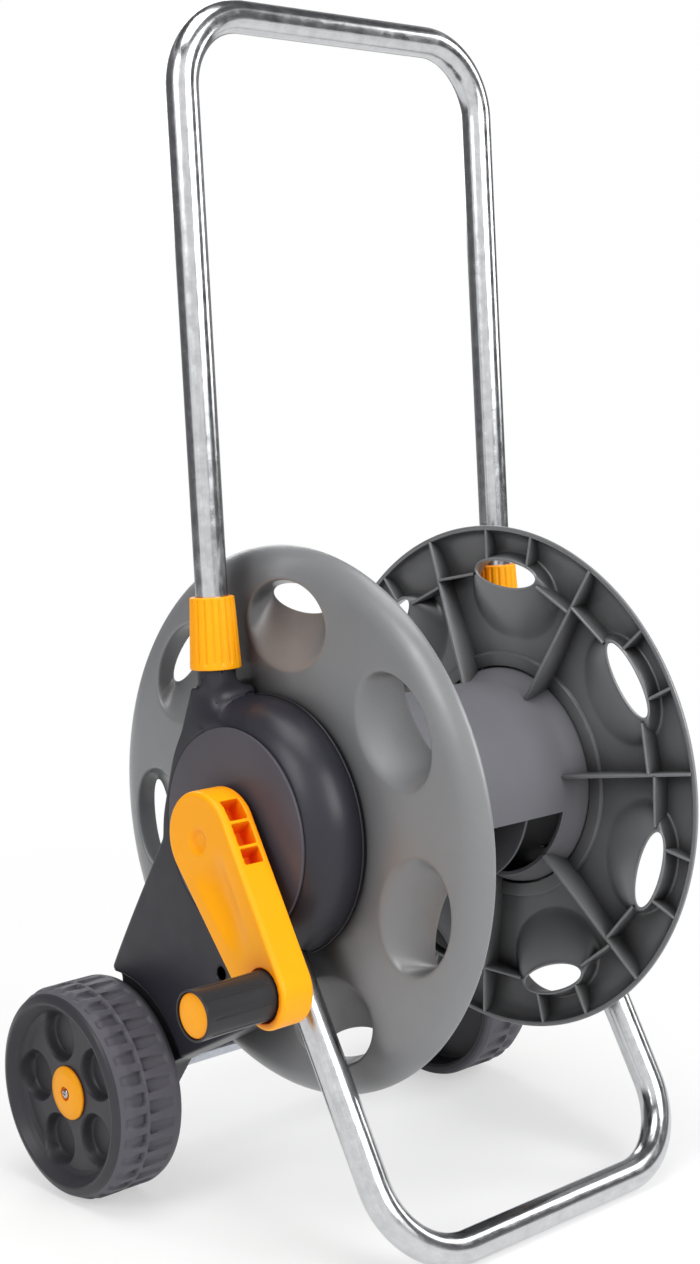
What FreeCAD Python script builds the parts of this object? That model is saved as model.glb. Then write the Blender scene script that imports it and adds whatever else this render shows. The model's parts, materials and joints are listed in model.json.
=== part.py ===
import FreeCAD, Part
import math
import os
from FreeCAD import Vector

# Garden hose reel cart, millimetres.
# Working axes: X along the drum (crank side -X, water inlet side +X), Y from the foot (-Y) to
# the wheels (+Y), Z up.  While it is built the mid-plane of the drum is x = 0, the drum axis is
# y = 0 and the floor is z = 0.  On saving, everything moves so that the origin is the centre of
# the cart's box on the floor.

# ---------------------------------------------------------------- driving dimensions

# drum
AXIS_Z = 280.6            # height of the drum axis
FLANGE_R = 190.0
RIM_EDGE_X = 99.0         # inner edge of each flange rim, from the mid-plane
RIM_DEPTH = 14.0          # from the rim edge out to the web beside the hub
RIM_T = 3.5
WEB_T = 2.5
HUB_RING_R = 86.0         # outside of the stepped ring round the hub
HUB_RECESS = 4.0
HUB_FLOOR_T = 2.0
BARREL_R = 74.0
BARREL_WALL = 3.0
FLARE_R = 82.0            # barrel radius where it meets the flange
FLARE_LENGTH = 16.0
SCOOPS = 7                # finger scoops, each with an oval hole, in each flange
SCOOP_PHASE = 5.5         # degrees from the top towards the foot
SCOOP_MOUTH_R = 138.0
SCOOP_MOUTH_SIZE = (30.0, 40.0)      # radial and tangential half sizes
HOLE_FROM_RIM = 35.0      # from the flange edge to the middle of an oval hole
HOLE_SIZE = (9.4, 29.5)
RIB_T = 2.4
WINDOW_ANGLES = (103.0, 192.0)       # hose window in the barrel
WINDOW_X = (-22.0, 94.0)
BARREL_RINGS_X = (-45.0, 56.0)
DRUM_SCREW_R = 66.0
DRUM_SCREWS = 4

# spindle line
JOURNAL_R = 22.0
JOURNAL_WALL = 3.0
BUSH_T = 3.0
SHAFT_R = 9.0
SHAFT_FLAT = 16.0         # across flats of both hexagon ends
STEM_R = 12.0
STEM_BORE = 8.0
STEM_REACH = 81.0         # how far the stem goes into the barrel
STEM_SCREW_R = 21.0

# tubes
TUBE_R = 11.0
TUBE_WALL = 1.5
HANDLE_TOP_Z = 826.2
HANDLE_LEAN = 1.65        # degrees, backwards
HANDLE_Y = 28.5           # where the legs pass the height of the drum axis
HANDLE_BEND = 52.0
HANDLE_END_H = 32.0       # lower ends, above the drum axis
HANDLE_TRAVEL = 165.0
FOOT_TILT = 28.6
FOOT_Y = 8.7
FOOT_BEND = 57.0
FOOT_END_T = 40.0         # upper ends, below the drum axis along the leg

# side frames
BOSS_R = 89.0
BOSS_FACE_R = 72.0
FRAME_WALL = 3.0
SOCKET_WALL = 2.0
SHOULDER_H = 95.5         # top of the frame above the drum axis
BACK_T = 2.5
CAP_T = 2.5
NECK_R = 13.4
COLLAR_H = (107.6, 156.6)            # along the leg, above the drum axis
COLLAR_RADII = (17.6, 15.2)
COLLAR_FLUTES = 18

# wheels
WHEEL_R = 77.3
WHEEL_W = 55.5
AXLE_Y = 144.8
AXLE_R = 6.5
AXLE_WALL = 1.5
WHEEL_HUB_R = 18.0
WHEEL_DISH = 11.0         # depth of the outer face inside the shoulder
WHEEL_POCKETS = 5
WHEEL_POCKET_R = 17.0
WHEEL_POCKET_RING = 43.0
TREAD_BLOCKS = 22
HUB_CAP_R = 17.0

# crank
CRANK_ANGLE = 139.0       # degrees from the top towards the foot
CRANK_LENGTH = 115.0
CRANK_HUB_R = 33.0
CRANK_END_R = 22.5
CRANK_T = 25.5
CRANK_RISE = 11.5         # the arm leans outwards by this much at the grip
GRIP_R = 16.4
GRIP_LENGTH = 60.0
PIN_R = 5.0

# inlet
ELBOW_R = 16.0
ELBOW_DROP = 40.0
NOSE_R = 8.0
TAIL_R = 7.0              # hose tail at the drum's window
TAIL_END_R = 6.8          # its plain end, where the hose starts to go on

# clearances
RUN = 0.06                # radial, shaft running in a hole
FIT = 0.04                # radial, piece pushed into a hole
GAP = 0.3                 # between pieces that move past each other

# ---------------------------------------------------------------- places that follow

WEB_IN_X = RIM_EDGE_X + RIM_DEPTH
WEB_OUT_X = WEB_IN_X + WEB_T
HUB_IN_X = WEB_IN_X + HUB_RECESS
HUB_OUT_X = HUB_IN_X + HUB_FLOOR_T
SKIRT_X = WEB_OUT_X + 2.0            # inner lip of the round boss on the side frame
BACK_X = HUB_OUT_X + 3.5             # inner face of the frame's back plate
JOURNAL_END_X = BACK_X + BACK_T + 2.0
HANDLE_X = JOURNAL_END_X + 1.0 + TUBE_R
FOOT_X = HANDLE_X - 1.0
CAP_SEAT_X = HANDLE_X + TUBE_R + 2.5
BOSS_FACE_X = CAP_SEAT_X + CAP_T
PLATE_X = BOSS_FACE_X - 1.0          # outer face of the frame's flat part
WHEEL_X = BOSS_FACE_X + 0.5          # inner face of the wheel
WHEEL_OUT_X = WHEEL_X + WHEEL_W
WHEEL_FACE_X = WHEEL_OUT_X - WHEEL_DISH
HUB_FACE_X = WHEEL_FACE_X - 4.5      # outer end of the wheel's hub
AXLE_Z = WHEEL_R
CRANK_X = BOSS_FACE_X + 4.0          # inner face of the crank at its hub
CRANK_OUT_X = CRANK_X + CRANK_T
CUP_X = CRANK_OUT_X + CRANK_RISE - 4.5
GRIP_END_X = CUP_X + GAP + GRIP_LENGTH
HOLE_RING_R = FLANGE_R - HOLE_FROM_RIM

ORIGIN_SHIFT = Vector(
    (GRIP_END_X - WHEEL_OUT_X) / 2.0,
    -(AXLE_Y + WHEEL_R - FLANGE_R) / 2.0,
    0.0,
)

AXIS_POINT = Vector(0, 0, AXIS_Z)
X_DIR = Vector(1, 0, 0)
LEAN = math.radians(HANDLE_LEAN)
LEG_DIR = Vector(0, math.sin(LEAN), math.cos(LEAN))
TILT = math.radians(FOOT_TILT)
FOOT_DIR = Vector(0, math.sin(TILT), math.cos(TILT))

parts = {}


# ---------------------------------------------------------------- helpers

def rod_x(radius, x0, x1, y=0.0, z=AXIS_Z):
    """Cylinder along X from x0 to x1."""
    return Part.makeCylinder(radius, x1 - x0, Vector(x0, y, z), X_DIR)


def ring_x(outer, inner, x0, x1, y=0.0, z=AXIS_Z):
    """Hollow cylinder along X."""
    return rod_x(outer, x0, x1, y, z).cut(rod_x(inner, x0 - 1.0, x1 + 1.0, y, z))


def hexagon_x(flats, x0, x1, z=AXIS_Z):
    """Hexagonal bar along X on the drum axis."""
    corner = flats / math.sqrt(3.0)
    points = []
    for k in range(7):
        angle = math.radians(60.0 * k)
        points.append(Vector(x0, corner * math.cos(angle), z + corner * math.sin(angle)))
    return Part.Face(Part.makePolygon(points)).extrude(Vector(x1 - x0, 0, 0))


def box(x0, x1, y0, y1, z0, z1):
    return Part.makeBox(x1 - x0, y1 - y0, z1 - z0, Vector(x0, y0, z0))


def round_bar(radius, start, end):
    """Cylinder between two points."""
    return Part.makeCylinder(radius, (end - start).Length, start, end - start)


def turned(profile, y=0.0, z=AXIS_Z):
    """Solid of revolution about X.  The profile holds (x, radius) points; a third item marks
    the middle point of an arc between its neighbours."""
    edges = []
    points = [Vector(item[0], item[1], 0) for item in profile]
    count = len(profile)
    k = 0
    while k < count:
        after = (k + 1) % count
        if len(profile[after]) == 3:
            last = (k + 2) % count
            edges.append(Part.Arc(points[k], points[after], points[last]).toShape())
            k += 2
        else:
            edges.append(Part.makeLine(points[k], points[after]))
            k += 1
    solid = Part.Face(Part.Wire(edges)).revolve(Vector(0, 0, 0), X_DIR, 360)
    return solid.translated(Vector(0, y, z))


def about_axis(shape, degrees):
    """Turn about the drum axis, from the top towards the foot."""
    return shape.rotated(AXIS_POINT, X_DIR, degrees)


def mirrored(shape):
    """The same piece on the other side of the mid-plane."""
    return shape.mirror(Vector(0, 0, 0), X_DIR)


def fused(shapes):
    return shapes[0].multiFuse(shapes[1:]) if len(shapes) > 1 else shapes[0]


def corner_terms(before, corner, after):
    """Unit directions in and out of a corner, the turn, and the way to the inside of it."""
    way_in = (corner - before).normalize()
    way_out = (after - corner).normalize()
    turn = way_in.getAngle(way_out)
    inside = (way_out - way_in).normalize()
    return way_in, way_out, turn, inside


def bend_points(before, corner, after, radius):
    """Start, middle and end of the arc that rounds a corner."""
    way_in, way_out, turn, inside = corner_terms(before, corner, after)
    back = radius * math.tan(turn / 2.0)
    reach = radius / math.cos(turn / 2.0) - radius
    return corner - way_in * back, corner + inside * reach, corner + way_out * back


def outline_face(corners, x):
    """Flat face at x with rounded corners, from (y, z, radius) corners."""
    points = [Vector(x, y, z) for y, z, radius in corners]
    count = len(points)
    edges = []
    previous = None
    first = None
    for k in range(count):
        radius = corners[k][2]
        start, middle, end = bend_points(points[k - 1], points[k], points[(k + 1) % count], radius)
        if previous is None:
            first = start
        else:
            edges.append(Part.makeLine(previous, start))
        edges.append(Part.Arc(start, middle, end).toShape())
        previous = end
    edges.append(Part.makeLine(previous, first))
    return Part.Face(Part.Wire(edges))


def inset_corners(corners, distance):
    """The same outline moved inwards.  Corners run so that the inside is on the left."""
    points = [Vector(0, y, z) for y, z, radius in corners]
    count = len(points)
    moved = []
    for k in range(count):
        way_in, way_out, turn, inside = corner_terms(points[k - 1], points[k], points[(k + 1) % count])
        convex = way_in.cross(way_out).x > 0
        sign = 1.0 if convex else -1.0
        place = points[k] + inside * (sign * distance / math.cos(turn / 2.0))
        radius = max(corners[k][2] - sign * distance, 0.6)
        moved.append((place.y, place.z, radius))
    return moved


def bent_rod(points, bend, radius):
    """Round rod along straight runs joined by tangent arcs."""
    edges = []
    start = points[0]
    for k in range(1, len(points) - 1):
        arc_start, arc_middle, arc_end = bend_points(points[k - 1], points[k], points[k + 1], bend)
        edges.append(Part.makeLine(start, arc_start))
        edges.append(Part.Arc(arc_start, arc_middle, arc_end).toShape())
        start = arc_end
    edges.append(Part.makeLine(start, points[-1]))
    path = Part.Wire(edges)
    section = Part.Wire([Part.makeCircle(radius, points[0], points[1] - points[0])])
    return path.makePipeShell([section], True, False)


def bent_tube(points, bend):
    """Steel tube of the cart's one tube size."""
    return bent_rod(points, bend, TUBE_R).cut(bent_rod(points, bend, TUBE_R - TUBE_WALL))


def leg_point(height, x=HANDLE_X):
    """Point on a handle leg, at a distance above the drum axis along the leg."""
    return Vector(x, HANDLE_Y, AXIS_Z) + LEG_DIR * height


def leg_rod(radius, low, high):
    return round_bar(radius, leg_point(low), leg_point(high))


def leg_cone(low_radius, high_radius, low, high):
    return Part.makeCone(low_radius, high_radius, high - low, leg_point(low), LEG_DIR)


def foot_point(distance, x=FOOT_X):
    """Point on a foot leg, at a distance below the drum axis along the leg."""
    return Vector(x, FOOT_Y, AXIS_Z) - FOOT_DIR * distance


# ---------------------------------------------------------------- drum

def barrel_envelope(grow):
    """Filled barrel with its flared end on the +X side, grown by a clearance."""
    flare_start = WEB_IN_X - FLARE_LENGTH
    return turned([
        (0.0, 0.0), (0.0, BARREL_R + grow), (flare_start, BARREL_R + grow),
        (WEB_IN_X, FLARE_R + grow), (HUB_IN_X, FLARE_R + grow), (HUB_IN_X, 0.0),
    ])


def flange_envelope():
    """Everything between the rim's inner plane and the flange's outer surface."""
    return turned([
        (RIM_EDGE_X, BARREL_R - 2.0), (RIM_EDGE_X, FLANGE_R), (RIM_EDGE_X + 2.5, FLANGE_R),
        (RIM_EDGE_X + 10.5, FLANGE_R - 6.5, "arc"), (WEB_OUT_X - 2.5, FLANGE_R - 23.0),
        (WEB_OUT_X, HUB_RING_R), (HUB_OUT_X, HUB_RING_R), (HUB_OUT_X, BARREL_R - 2.0),
    ])


def flange_web():
    """Turned skin of the flange: rim, web, stepped hub ring and hub floor."""
    hub_ring_in = HUB_RING_R - WEB_T
    return turned([
        (RIM_EDGE_X, FLANGE_R - RIM_T), (RIM_EDGE_X, FLANGE_R), (RIM_EDGE_X + 2.5, FLANGE_R),
        (RIM_EDGE_X + 10.5, FLANGE_R - 6.5, "arc"), (WEB_OUT_X - 2.5, FLANGE_R - 23.0),
        (WEB_OUT_X, HUB_RING_R), (HUB_OUT_X, HUB_RING_R), (HUB_OUT_X, JOURNAL_R),
        (JOURNAL_END_X, JOURNAL_R), (JOURNAL_END_X, JOURNAL_R - JOURNAL_WALL),
        (HUB_IN_X, JOURNAL_R - JOURNAL_WALL), (HUB_IN_X, hub_ring_in), (WEB_IN_X, hub_ring_in),
        (WEB_IN_X - 2.5, FLANGE_R - 25.0), (RIM_EDGE_X + 8.5, FLANGE_R - 10.0, "arc"),
        (RIM_EDGE_X + 2.0, FLANGE_R - RIM_T),
    ])


def oval_wire(x, ring_radius, radial, tangential):
    """Oval at the top of the flange, long side along the rim."""
    oval = Part.Ellipse(Vector(x, 0, AXIS_Z + ring_radius), tangential, radial)
    edge = oval.toShape()
    centre = Vector(x, 0, AXIS_Z + ring_radius)
    edge.rotate(centre, Vector(0, 1, 0), 90)
    edge.rotate(centre, X_DIR, 90)
    return Part.Wire([edge])


def scoop_funnel(grow):
    """Funnel from the scoop's wide mouth down to its oval hole, at the top of the flange."""
    mouth_x = WEB_OUT_X + 1.0
    throat_x = RIM_EDGE_X - 0.5
    mouth = oval_wire(mouth_x, SCOOP_MOUTH_R, SCOOP_MOUTH_SIZE[0] + grow, SCOOP_MOUTH_SIZE[1] + grow)
    throat = oval_wire(throat_x, HOLE_RING_R, HOLE_SIZE[0] + grow, HOLE_SIZE[1] + grow)
    return Part.makeLoft([throat, mouth], True, True)


def flange_ribs():
    """Moulded ribs on the inner face: radial, one ring through the holes, and short ones."""
    pitch = 360.0 / SCOOPS
    ribs = []
    radial = box(RIM_EDGE_X, WEB_IN_X + 1.0, -RIB_T / 2.0, RIB_T / 2.0,
                 AXIS_Z + BARREL_R - 2.0, AXIS_Z + FLANGE_R - 1.0)
    short = box(RIM_EDGE_X, WEB_IN_X, -RIB_T / 2.0, RIB_T / 2.0,
                AXIS_Z + HOLE_RING_R + HOLE_SIZE[0] - 3.0, AXIS_Z + FLANGE_R - 1.0)
    for k in range(SCOOPS):
        middle = SCOOP_PHASE + k * pitch
        ribs.append(about_axis(radial, middle + pitch / 2.0))
        ribs.append(about_axis(short, middle - 7.0))
        ribs.append(about_axis(short, middle + 7.0))
    ribs.append(ring_x(HOLE_RING_R + RIB_T / 2.0, HOLE_RING_R - RIB_T / 2.0, RIM_EDGE_X, WEB_IN_X))
    return fused(ribs).common(flange_envelope()).cut(barrel_envelope(GAP))


def drum_screw_places():
    places = []
    for k in range(DRUM_SCREWS):
        angle = math.radians(45.0 + 360.0 * k / DRUM_SCREWS)
        places.append((DRUM_SCREW_R * math.sin(angle), AXIS_Z + DRUM_SCREW_R * math.cos(angle)))
    return places


def flange_blank():
    """Flange of the +X side without its spindle details."""
    pitch = 360.0 / SCOOPS
    walls = scoop_funnel(WEB_T).common(flange_envelope())
    hollow = scoop_funnel(0.0)
    angles = [SCOOP_PHASE + k * pitch for k in range(SCOOPS)]
    solid = fused([flange_web(), flange_ribs()] + [about_axis(walls, a) for a in angles])
    solid = solid.cut(fused([about_axis(hollow, a) for a in angles]))
    for y, z in drum_screw_places():
        solid = solid.cut(rod_x(2.1, HUB_IN_X - 1.0, HUB_OUT_X + 1.0, y, z))
    return solid


def make_flanges():
    blank = flange_blank()
    hub_disc = rod_x(JOURNAL_R - JOURNAL_WALL + 1.0, HUB_IN_X, HUB_OUT_X)
    inlet = blank.fuse(hub_disc).cut(rod_x(STEM_R + 1.5, HUB_IN_X - 1.0, JOURNAL_END_X + 1.0))
    boss = rod_x(SHAFT_FLAT / 2.0 + 5.0, HUB_IN_X - 10.0, JOURNAL_END_X - 1.0)
    socket = hexagon_x(SHAFT_FLAT + 2 * FIT, HUB_IN_X - 7.0, JOURNAL_END_X + 1.0)
    bolt_hole = rod_x(2.6, HUB_IN_X - 11.0, JOURNAL_END_X)
    crank = fused([blank, hub_disc, boss]).cut(socket).cut(bolt_hole)
    parts["flange_inlet_side"] = inlet
    parts["flange_crank_side"] = mirrored(crank)


def make_barrel():
    """Barrel with flared ends, screw posts, two inner rings and the hose window."""
    flare_start = WEB_IN_X - FLARE_LENGTH
    outer = barrel_envelope(0.0)
    inner = turned([
        (-1.0, 0.0), (-1.0, BARREL_R - BARREL_WALL), (flare_start, BARREL_R - BARREL_WALL),
        (WEB_IN_X, FLARE_R - BARREL_WALL), (HUB_IN_X + 1.0, FLARE_R - BARREL_WALL),
        (HUB_IN_X + 1.0, 0.0),
    ])
    half = outer.cut(inner)
    posts = []
    for y, z in drum_screw_places():
        post = rod_x(5.0, HUB_IN_X - 24.0, HUB_IN_X, y, z)
        web = box(HUB_IN_X - 24.0, HUB_IN_X, -1.2, 1.2,
                  AXIS_Z + DRUM_SCREW_R + 2.0, AXIS_Z + FLARE_R - BARREL_WALL + 1.0)
        angle = math.degrees(math.atan2(-y, z - AXIS_Z))
        posts.append(post)
        posts.append(about_axis(web, angle).common(outer))
    half = fused([half] + posts)
    for y, z in drum_screw_places():
        half = half.cut(rod_x(1.6, HUB_IN_X - 20.0, HUB_IN_X + 1.0, y, z))
    rings = []
    for x in BARREL_RINGS_X:
        rings.append(ring_x(BARREL_R - BARREL_WALL / 2.0, BARREL_R - 24.0, x, x + 2.4))
    solid = fused([half, mirrored(half)] + rings)
    start, end = WINDOW_ANGLES
    sector = Part.makeCylinder(BARREL_R + 6.0, WINDOW_X[1] - WINDOW_X[0], Vector(WINDOW_X[0], 0, AXIS_Z),
                               X_DIR, end - start)
    lead = sector.CenterOfMass
    middle = math.degrees(math.atan2(-lead.y, lead.z - AXIS_Z))
    sector = about_axis(sector, (start + end) / 2.0 - middle)
    core = rod_x(BARREL_R - BARREL_WALL - 2.0, WINDOW_X[0] - 1.0, WINDOW_X[1] + 1.0)
    parts["drum_barrel"] = solid.cut(sector.cut(core))


def pan_screw(x_head, x_tip, y, z, radius=1.5, head=3.4, head_t=2.0):
    """Screw along X: the head's seat is at x_head and the tip at x_tip."""
    way = 1.0 if x_tip > x_head else -1.0
    shank = rod_x(radius, min(x_head, x_tip), max(x_head, x_tip), y, z)
    outside = x_head - way * head_t
    cap = rod_x(head, min(x_head, outside), max(x_head, outside), y, z)
    slot_start = outside - way * 0.5
    slot_end = outside + way * 1.0
    slot = box(min(slot_start, slot_end), max(slot_start, slot_end), y - 1.8, y + 1.8, z - 0.4, z + 0.4)
    cross = box(min(slot_start, slot_end), max(slot_start, slot_end), y - 0.4, y + 0.4, z - 1.8, z + 1.8)
    return shank.fuse(cap).cut(slot).cut(cross)


def make_drum_screws():
    screws = [pan_screw(HUB_OUT_X, HUB_IN_X - 18.0, y, z) for y, z in drum_screw_places()]
    group = Part.makeCompound(screws)
    parts["drum_screws_inlet_side"] = group
    parts["drum_screws_crank_side"] = mirrored(group)


# ---------------------------------------------------------------- side frames

def frame_corners():
    """Flat part of the side frame, inside on the left when looking along -X."""
    return [
        (50.0, AXIS_Z + SHOULDER_H, 5.0),
        (15.0, AXIS_Z + SHOULDER_H, 5.0),
        (15.0, AXIS_Z + 50.0, 2.0),
        (-6.0, AXIS_Z - 50.0, 2.0),
        (-14.0, AXIS_Z - 125.0, 10.0),
        (2.0, AXIS_Z - 137.6, 8.0),
        (AXLE_Y - 40.8, AXLE_Z + 14.7, 10.0),
        (AXLE_Y - 17.0, AXLE_Z - 17.0, 15.0),
        (AXLE_Y + 17.2, AXLE_Z - 17.0, 15.0),
        (AXLE_Y + 17.2, AXLE_Z + 40.0, 10.0),
        (AXLE_Y + 1.0, AXLE_Z + 58.0, 6.0),
        (AXLE_Y + 1.0, AXLE_Z + 75.0, 2.0),
        (AXLE_Y + 6.5, AXLE_Z + 82.5, 3.8),
        (86.0, AXIS_Z - 14.0, 20.0),
    ]


def boss_solid(inset):
    """Round boss with its deep rounding; inset gives the hollow inside it."""
    lip_r = BOSS_R - inset
    face_x = BOSS_FACE_X - inset
    depth = face_x - SKIRT_X - 3.0
    width = lip_r - BOSS_FACE_R + 4.0
    return turned([
        (SKIRT_X, 0.0), (SKIRT_X, lip_r), (SKIRT_X + 3.0, lip_r),
        (SKIRT_X + 3.0 + 0.72 * depth, lip_r - 0.30 * width, "arc"), (face_x, lip_r - width),
        (face_x, 0.0),
    ])


def frame_screw_places():
    """Screws that hold the back plate, clear of both tubes."""
    return [
        (-74.4, AXIS_Z + 20.0), (-63.0, AXIS_Z - 44.5), (93.0, AXIS_Z - 52.0),
        (AXLE_Y - 36.0, AXLE_Z + 112.0), (AXLE_Y - 74.0, AXLE_Z + 50.0),
    ]


def make_side_frames():
    corners = frame_corners()
    frame_x = SKIRT_X + 1.5
    plate = outline_face(corners, frame_x).extrude(Vector(PLATE_X - frame_x, 0, 0))
    edge_list = []
    for edge in plate.Edges:
        if all(abs(v.X - PLATE_X) < 1e-6 for v in edge.Vertexes):
            edge_list.append(edge)
    plate = plate.makeFillet(3.0, edge_list)
    outer = plate.fuse(boss_solid(0.0))
    inner_corners = inset_corners(corners, FRAME_WALL)
    hollow = outline_face(inner_corners, frame_x - 1.0)
    hollow = hollow.extrude(Vector(PLATE_X - FRAME_WALL - frame_x + 1.0, 0, 0))
    shell_hollow = hollow.fuse(boss_solid(FRAME_WALL)).fuse(
        rod_x(BOSS_R - FRAME_WALL + 1.0, SKIRT_X - 1.0, SKIRT_X + 3.0))
    wheel_well = rod_x(WHEEL_R + 2.0, PLATE_X - 5.0, PLATE_X + 5.0, AXLE_Y, AXLE_Z)
    well_floor = rod_x(WHEEL_R + 2.0 + FRAME_WALL, PLATE_X - 5.0 - FRAME_WALL, PLATE_X - 5.0,
                       AXLE_Y, AXLE_Z)
    well_wall = ring_x(WHEEL_R + 2.0 + FRAME_WALL, WHEEL_R + 2.0, PLATE_X - 5.5, PLATE_X - 0.5,
                       AXLE_Y, AXLE_Z)
    shell = outer.cut(shell_hollow)
    shell = shell.fuse(well_floor.fuse(well_wall).common(outer)).cut(wheel_well)
    # seat for the round cover
    seat = ring_x(BOSS_FACE_R, BOSS_FACE_R - 6.0, CAP_SEAT_X - 2.0, CAP_SEAT_X)
    shell = shell.fuse(seat).cut(rod_x(BOSS_FACE_R, CAP_SEAT_X, BOSS_FACE_X + 1.0))
    shell = shell.cut(rod_x(BOSS_FACE_R - 6.0, SKIRT_X, BOSS_FACE_X + 1.0))
    # sleeves for the handle leg, the foot leg and the axle, and posts for the screws
    neck_top = COLLAR_H[0] + 13.0
    sleeve = leg_rod(NECK_R, BOSS_FACE_R + 2.0, neck_top)
    socket = round_bar(TUBE_R + SOCKET_WALL, foot_point(FOOT_END_T - 3.0), foot_point(BOSS_R + 12.0))
    socket = socket.common(outer)
    posts = []
    for y, z in frame_screw_places():
        posts.append(rod_x(5.0, BACK_X + BACK_T, PLATE_X - 1.0, y, z).common(outer))
    axle_post = rod_x(15.5, BACK_X + BACK_T, WHEEL_X - 2.0, AXLE_Y, AXLE_Z)
    shell = fused([shell, sleeve, socket, axle_post] + posts)
    shell = shell.cut(leg_rod(TUBE_R + GAP, 0.0, neck_top + 1.0))
    shell = shell.cut(round_bar(TUBE_R + FIT, foot_point(FOOT_END_T), foot_point(BOSS_R + 20.0)))
    shell = shell.cut(rod_x(AXLE_R + FIT, SKIRT_X, WHEEL_X, AXLE_Y, AXLE_Z))
    shell = shell.cut(rod_x(5.0, PLATE_X - 6.0, PLATE_X + 1.0, 21.0, AXIS_Z - 101.0))
    for y, z in frame_screw_places():
        shell = shell.cut(rod_x(1.6, BACK_X, PLATE_X - 5.0 - FRAME_WALL - 1.0, y, z))
    pin = foot_point(FOOT_END_T + 20.0)
    shell = shell.cut(rod_x(2.0 + FIT, BACK_X, FOOT_X + TUBE_R + 1.5, pin.y, pin.z))
    # the back plate drops in from the drum side
    recess = outline_face(inset_corners(corners, FRAME_WALL - 1.2), BACK_X)
    shell = shell.cut(recess.extrude(Vector(BACK_T, 0, 0)).cut(rod_x(BOSS_R - 6.0, BACK_X, BACK_X + BACK_T)))
    parts["side_frame_inlet_side"] = shell
    parts["side_frame_crank_side"] = mirrored(shell)


def make_back_plates():
    """Plate that closes the side frame towards the drum and carries the bearing."""
    plate = outline_face(inset_corners(frame_corners(), FRAME_WALL - 1.2 + FIT), BACK_X)
    plate = plate.extrude(Vector(BACK_T, 0, 0))
    disc = rod_x(BOSS_R - FRAME_WALL - 1.2, BACK_X, BACK_X + BACK_T)
    bearing_r = JOURNAL_R + BUSH_T + RUN
    ring = rod_x(bearing_r + 3.0, BACK_X, JOURNAL_END_X)
    plate = plate.fuse(disc).fuse(ring)
    plate = plate.cut(rod_x(bearing_r, BACK_X - 1.0, JOURNAL_END_X + 1.0))
    plate = plate.cut(rod_x(AXLE_R + FIT, BACK_X - 1.0, BACK_X + BACK_T + 1.0, AXLE_Y, AXLE_Z))
    for y, z in frame_screw_places():
        plate = plate.cut(rod_x(1.6, BACK_X - 1.0, BACK_X + BACK_T + 1.0, y, z))
    parts["back_plate_inlet_side"] = plate
    parts["back_plate_crank_side"] = mirrored(plate)
    bush = ring_x(JOURNAL_R + BUSH_T, JOURNAL_R + RUN, BACK_X, JOURNAL_END_X)
    parts["drum_bush_inlet_side"] = bush
    parts["drum_bush_crank_side"] = mirrored(bush)
    screws = [pan_screw(BACK_X, BACK_X + 18.0, y, z) for y, z in frame_screw_places()]
    group = Part.makeCompound(screws)
    parts["frame_screws_inlet_side"] = group
    parts["frame_screws_crank_side"] = mirrored(group)


def make_boss_covers():
    """Flat round covers let into the side frames."""
    cover = rod_x(BOSS_FACE_R - 0.25, CAP_SEAT_X, BOSS_FACE_X)
    crank = cover.fuse(rod_x(SHAFT_R + 5.5, CAP_SEAT_X - 8.0, CAP_SEAT_X))
    crank = crank.cut(rod_x(SHAFT_R + 2.5 + FIT, CAP_SEAT_X - 9.0, BOSS_FACE_X + 1.0))
    parts["boss_cover_crank_side"] = mirrored(crank)
    bush = ring_x(SHAFT_R + 2.5, SHAFT_R + RUN, CAP_SEAT_X - 8.0, BOSS_FACE_X)
    parts["shaft_bush"] = mirrored(bush)
    inlet = cover.cut(rod_x(STEM_R + FIT, CAP_SEAT_X - 1.0, BOSS_FACE_X + 1.0))
    for y, z in stem_screw_places():
        inlet = inlet.fuse(rod_x(4.0, CAP_SEAT_X - 8.0, CAP_SEAT_X, y, z))
        inlet = inlet.cut(rod_x(1.6, CAP_SEAT_X - 9.0, BOSS_FACE_X + 1.0, y, z))
    parts["boss_cover_inlet_side"] = inlet


# ---------------------------------------------------------------- tubes and axle

def make_tubes():
    top = (HANDLE_TOP_Z - AXIS_Z) / math.cos(LEAN)
    handle_points = [
        leg_point(HANDLE_END_H), leg_point(top),
        leg_point(top, -HANDLE_X), leg_point(HANDLE_END_H, -HANDLE_X),
    ]
    parts["handle_tube"] = bent_tube(handle_points, HANDLE_BEND)
    plug_wall = TUBE_R - TUBE_WALL - FIT
    plug = leg_rod(plug_wall, HANDLE_END_H, HANDLE_END_H + 12.0)
    plug = plug.fuse(leg_rod(TUBE_R - 0.2, HANDLE_END_H - 2.0, HANDLE_END_H))
    parts["handle_plugs"] = Part.makeCompound([plug, mirrored(plug)])
    floor = (AXIS_Z - TUBE_R) / math.cos(TILT)
    foot_points = [
        foot_point(FOOT_END_T), foot_point(floor),
        foot_point(floor, -FOOT_X), foot_point(FOOT_END_T, -FOOT_X),
    ]
    foot = bent_tube(foot_points, FOOT_BEND)
    pin = foot_point(FOOT_END_T + 20.0)
    foot = foot.cut(rod_x(2.0 + FIT, -FOOT_X - 20.0, FOOT_X + 20.0, pin.y, pin.z))
    parts["foot_tube"] = foot
    cross_pin = rod_x(2.0, BACK_X + BACK_T + GAP, FOOT_X + TUBE_R + 1.2, pin.y, pin.z)
    parts["foot_tube_pins"] = Part.makeCompound([cross_pin, mirrored(cross_pin)])
    axle_end = HUB_FACE_X + GAP
    parts["axle"] = ring_x(AXLE_R, AXLE_R - AXLE_WALL, -axle_end, axle_end, AXLE_Y, AXLE_Z)


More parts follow.
